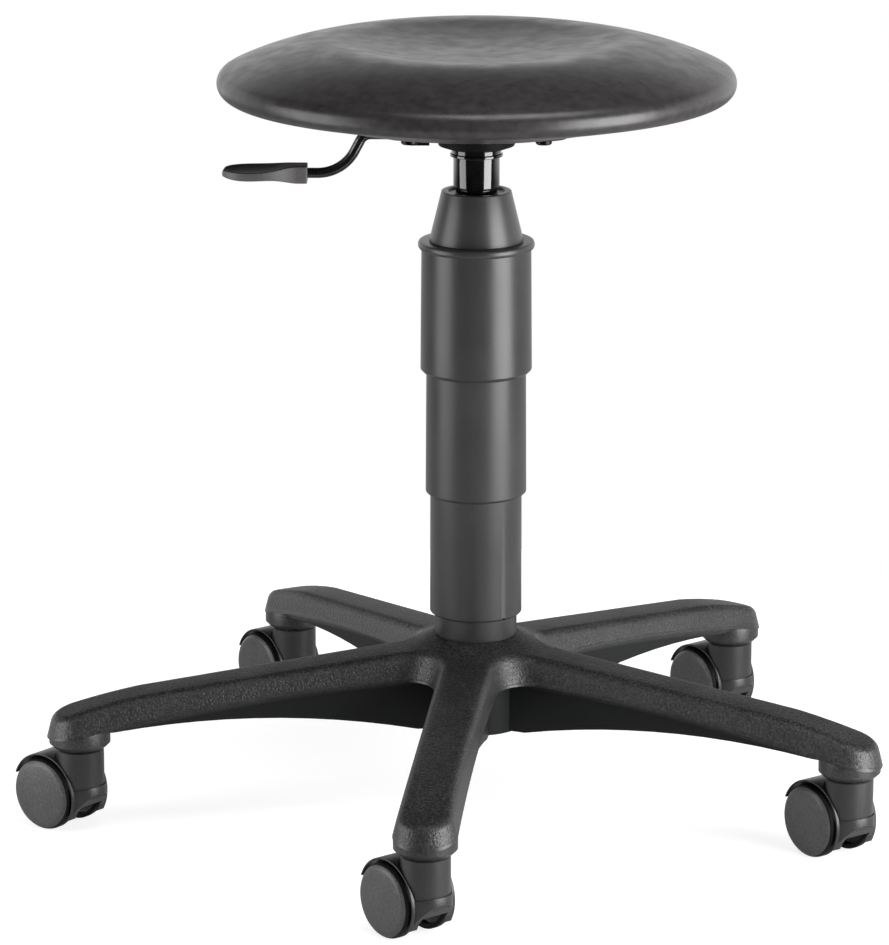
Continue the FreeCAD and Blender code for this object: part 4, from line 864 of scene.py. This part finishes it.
def makeBase():
    # a merged, smooth-shaded copy of the star: one arm's fifth, turned round five times
    piece = ownCopy(nodes["base_star"])
    body = piece["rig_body"]
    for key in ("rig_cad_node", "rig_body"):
        del piece[key]
    piece.parent = None
    selectOnly(piece)
    bpy.ops.object.mode_set(mode="EDIT")
    bpy.ops.mesh.select_all(action="SELECT")
    bpy.ops.mesh.remove_doubles(threshold=mm(star["weld"]))
    fifth = 360 / star["arms"]
    for side in (-1, 1):
        across = math.radians(star["armTurn"] + side * fifth / 2 + 90)
        outward = (side * math.cos(across), side * math.sin(across), 0)
        bpy.ops.mesh.select_all(action="SELECT")
        bpy.ops.mesh.bisect(plane_co=(0, 0, 0), plane_no=outward, clear_outer=True)
    bpy.ops.mesh.select_all(action="SELECT")
    for _ in range(star["arms"] - 1):
        bpy.ops.mesh.duplicate()
        bpy.ops.transform.rotate(value=math.radians(fifth), orient_axis="Z", center_override=(0, 0, 0))
    bpy.ops.mesh.select_all(action="SELECT")
    bpy.ops.mesh.remove_doubles(threshold=mm(star["seam"]))
    bpy.ops.object.mode_set(mode="OBJECT")
    if piece.data.has_custom_normals:
        bpy.ops.mesh.customdata_custom_splitnormals_clear()
    finishPiece(piece, "baseStar", baseMaterial, body, ["base_star"])


looks = [
    (zincMaterial, ["hub_sleeve", "piston_rod", "piston", "retaining_clip", "bearing_washers",
                    "bearing_balls", "release_pin", "tee_nuts", "castor_liners", "castor_grip_rings"]),
    (zincMaterial, [f"castor_{place}_{piece}" for place in places for piece in ("stem", "axle")]),
    (enamelMaterial, ["outer_tube"]),
    (bushMaterial, ["guide_bush", "valve_block", "lever_bush"]),
    (rubberMaterial, ["rubber_bumper", "tube_seal"]),
    (plateShadedMaterial, ["seat_plate", "pivot_ears"]),
    (screwMaterial, ["seat_washers", "seat_screws"]),
    (plyMaterial, ["seat_board"]),
    (leverMaterial, ["lever_rod"]),
]
for material, dressed in looks:
    for node in dressed:
        nodes[node].data.materials.clear()
        nodes[node].data.materials.append(material)
makeBase()
print("frame pieces dressed")

studio = {
    "tableRadius": 0.66, "tableSides": 128, "tableTone": 0.45,
    "floorNear": 0.8, "floorFade": (0.3, 0.64), "floorMirrored": 0.2,
    "fill": 0.2, "backdrop": 1.2, "darkSide": 0.04, "lowBackdrop": 0.3,
    "backFade": (0.0, 0.6), "topFade": (0.3, 0.55), "lowFade": (-0.32, -0.14),
}


def seenRays(tree):
    # 1 for the camera's rays and those through clear pieces, which meet a white backdrop; mirrored rays apart
    path = addNode(tree, "ShaderNodeLightPath").outputs
    return compute(tree, "MAXIMUM", path["Is Camera Ray"], path["Is Transmission Ray"]), path["Is Glossy Ray"]


def makeFloor():
    # pale sweep: white to the camera where nothing shades it, so it keeps the soft shadows
    bpy.ops.object.select_all(action="DESELECT")
    bpy.ops.mesh.primitive_circle_add(vertices=studio["tableSides"], radius=studio["tableRadius"],
                                      fill_type="NGON", location=(0, 0, 0))
    floor = bpy.context.object
    floor.name = "studioFloor"
    material = bpy.data.materials.new("paleFloor")
    material.use_nodes = True
    tree = material.node_tree
    tree.nodes.clear()
    seen, glossy = seenRays(tree)
    coords = addNode(tree, "ShaderNodeTexCoord").outputs["Object"]
    reach = computeVector(tree, "LENGTH", coords)["Value"]
    level = rescale(tree, reach, studio["floorFade"], (studio["floorNear"], 1.0))
    direct = compute(tree, "MULTIPLY", seen, level)
    strength = compute(tree, "MULTIPLY_ADD", glossy, studio["floorMirrored"], direct)
    matt = addNode(tree, "ShaderNodeBsdfDiffuse", {"Color": [studio["tableTone"]] * 3 + [1]}).outputs[0]
    glow = addNode(tree, "ShaderNodeEmission", {"Color": (1, 1, 1, 1), "Strength": strength}).outputs[0]
    both = addNode(tree, "ShaderNodeAddShader", {0: matt, 1: glow}).outputs[0]
    addNode(tree, "ShaderNodeOutputMaterial", {"Surface": both})
    floor.data.materials.append(material)


def makeWorld():
    # white backdrop behind the stool, dimmer room on the camera's side, plain fill for matt surfaces
    world = bpy.data.worlds.new("studio")
    bpy.context.scene.world = world
    world.use_nodes = True
    tree = world.node_tree
    tree.nodes.clear()
    seen, glossy = seenRays(tree)
    facing = addNode(tree, "ShaderNodeTexCoord").outputs["Generated"]
    way = addNode(tree, "ShaderNodeSeparateXYZ", {"Vector": facing}).outputs
    dark = studio["darkSide"]
    behind = rescale(tree, way["Y"], studio["backFade"], (dark, studio["backdrop"]), "SMOOTHSTEP")
    above = rescale(tree, way["Z"], studio["topFade"], (1.0, dark), "SMOOTHSTEP")
    below = rescale(tree, way["Z"], studio["lowFade"], (studio["lowBackdrop"], 1.0), "SMOOTHSTEP")
    backdrop = compute(tree, "MULTIPLY", behind, compute(tree, "MULTIPLY", above, below))
    mirrored = mix(tree, "FLOAT", glossy, studio["fill"], backdrop)
    strength = mix(tree, "FLOAT", seen, mirrored, 1.0)
    back = addNode(tree, "ShaderNodeBackground", {"Color": (1, 1, 1, 1), "Strength": strength}).outputs[0]
    addNode(tree, "ShaderNodeOutputWorld", {"Surface": back})


def addSoftbox(name, place, target, size, power):
    light = bpy.data.lights.new(name, "AREA")
    light.shape = "RECTANGLE"
    light.size, light.size_y = size
    light.energy = power
    lamp = bpy.data.objects.new(name, light)
    bpy.context.scene.collection.objects.link(lamp)
    lamp.visible_camera = False
    lamp.location = place
    lamp.rotation_mode = "QUATERNION"
    lamp.rotation_quaternion = (Vector(target) - Vector(place)).to_track_quat("-Z", "Y")


makeFloor()
makeWorld()
addSoftbox("topBox", place=(0.35, -0.4, 2.2), target=(0, 0, 0.4), size=(1.3, 1.1), power=22)
addSoftbox("leftBox", place=(-1.37, -0.6, 0.2), target=(0, 0, 0.2), size=(1.0, 1.6), power=22)
addSoftbox("rightBox", place=(1.35, -0.64, 0.2), target=(0, 0, 0.2), size=(1.05, 1.6), power=54)

view = {"turn": 6.620751, "distance": 3.123547, "height": 1.05336, "pitch": 14.635801, "pan": 0.394154,
        "focal": 4727.365, "longSide": 945, "sensor": 36, "farthest": 50}


def makeCamera():
    data = bpy.data.cameras.new("photoCamera")
    camera = bpy.data.objects.new("photoCamera", data)
    bpy.context.scene.collection.objects.link(camera)
    turn = math.radians(view["turn"])
    camera.location = (view["distance"] * math.sin(turn), -view["distance"] * math.cos(turn), view["height"])
    camera.rotation_euler = (math.radians(90 - view["pitch"]), 0, math.radians(view["turn"] + view["pan"]))
    data.sensor_width = view["sensor"]
    data.lens = view["focal"] * view["sensor"] / view["longSide"]
    data.clip_end = view["farthest"]
    bpy.context.scene.camera = camera


makeCamera()
bpy.context.scene.view_settings.view_transform = "Standard"
print("stage made")
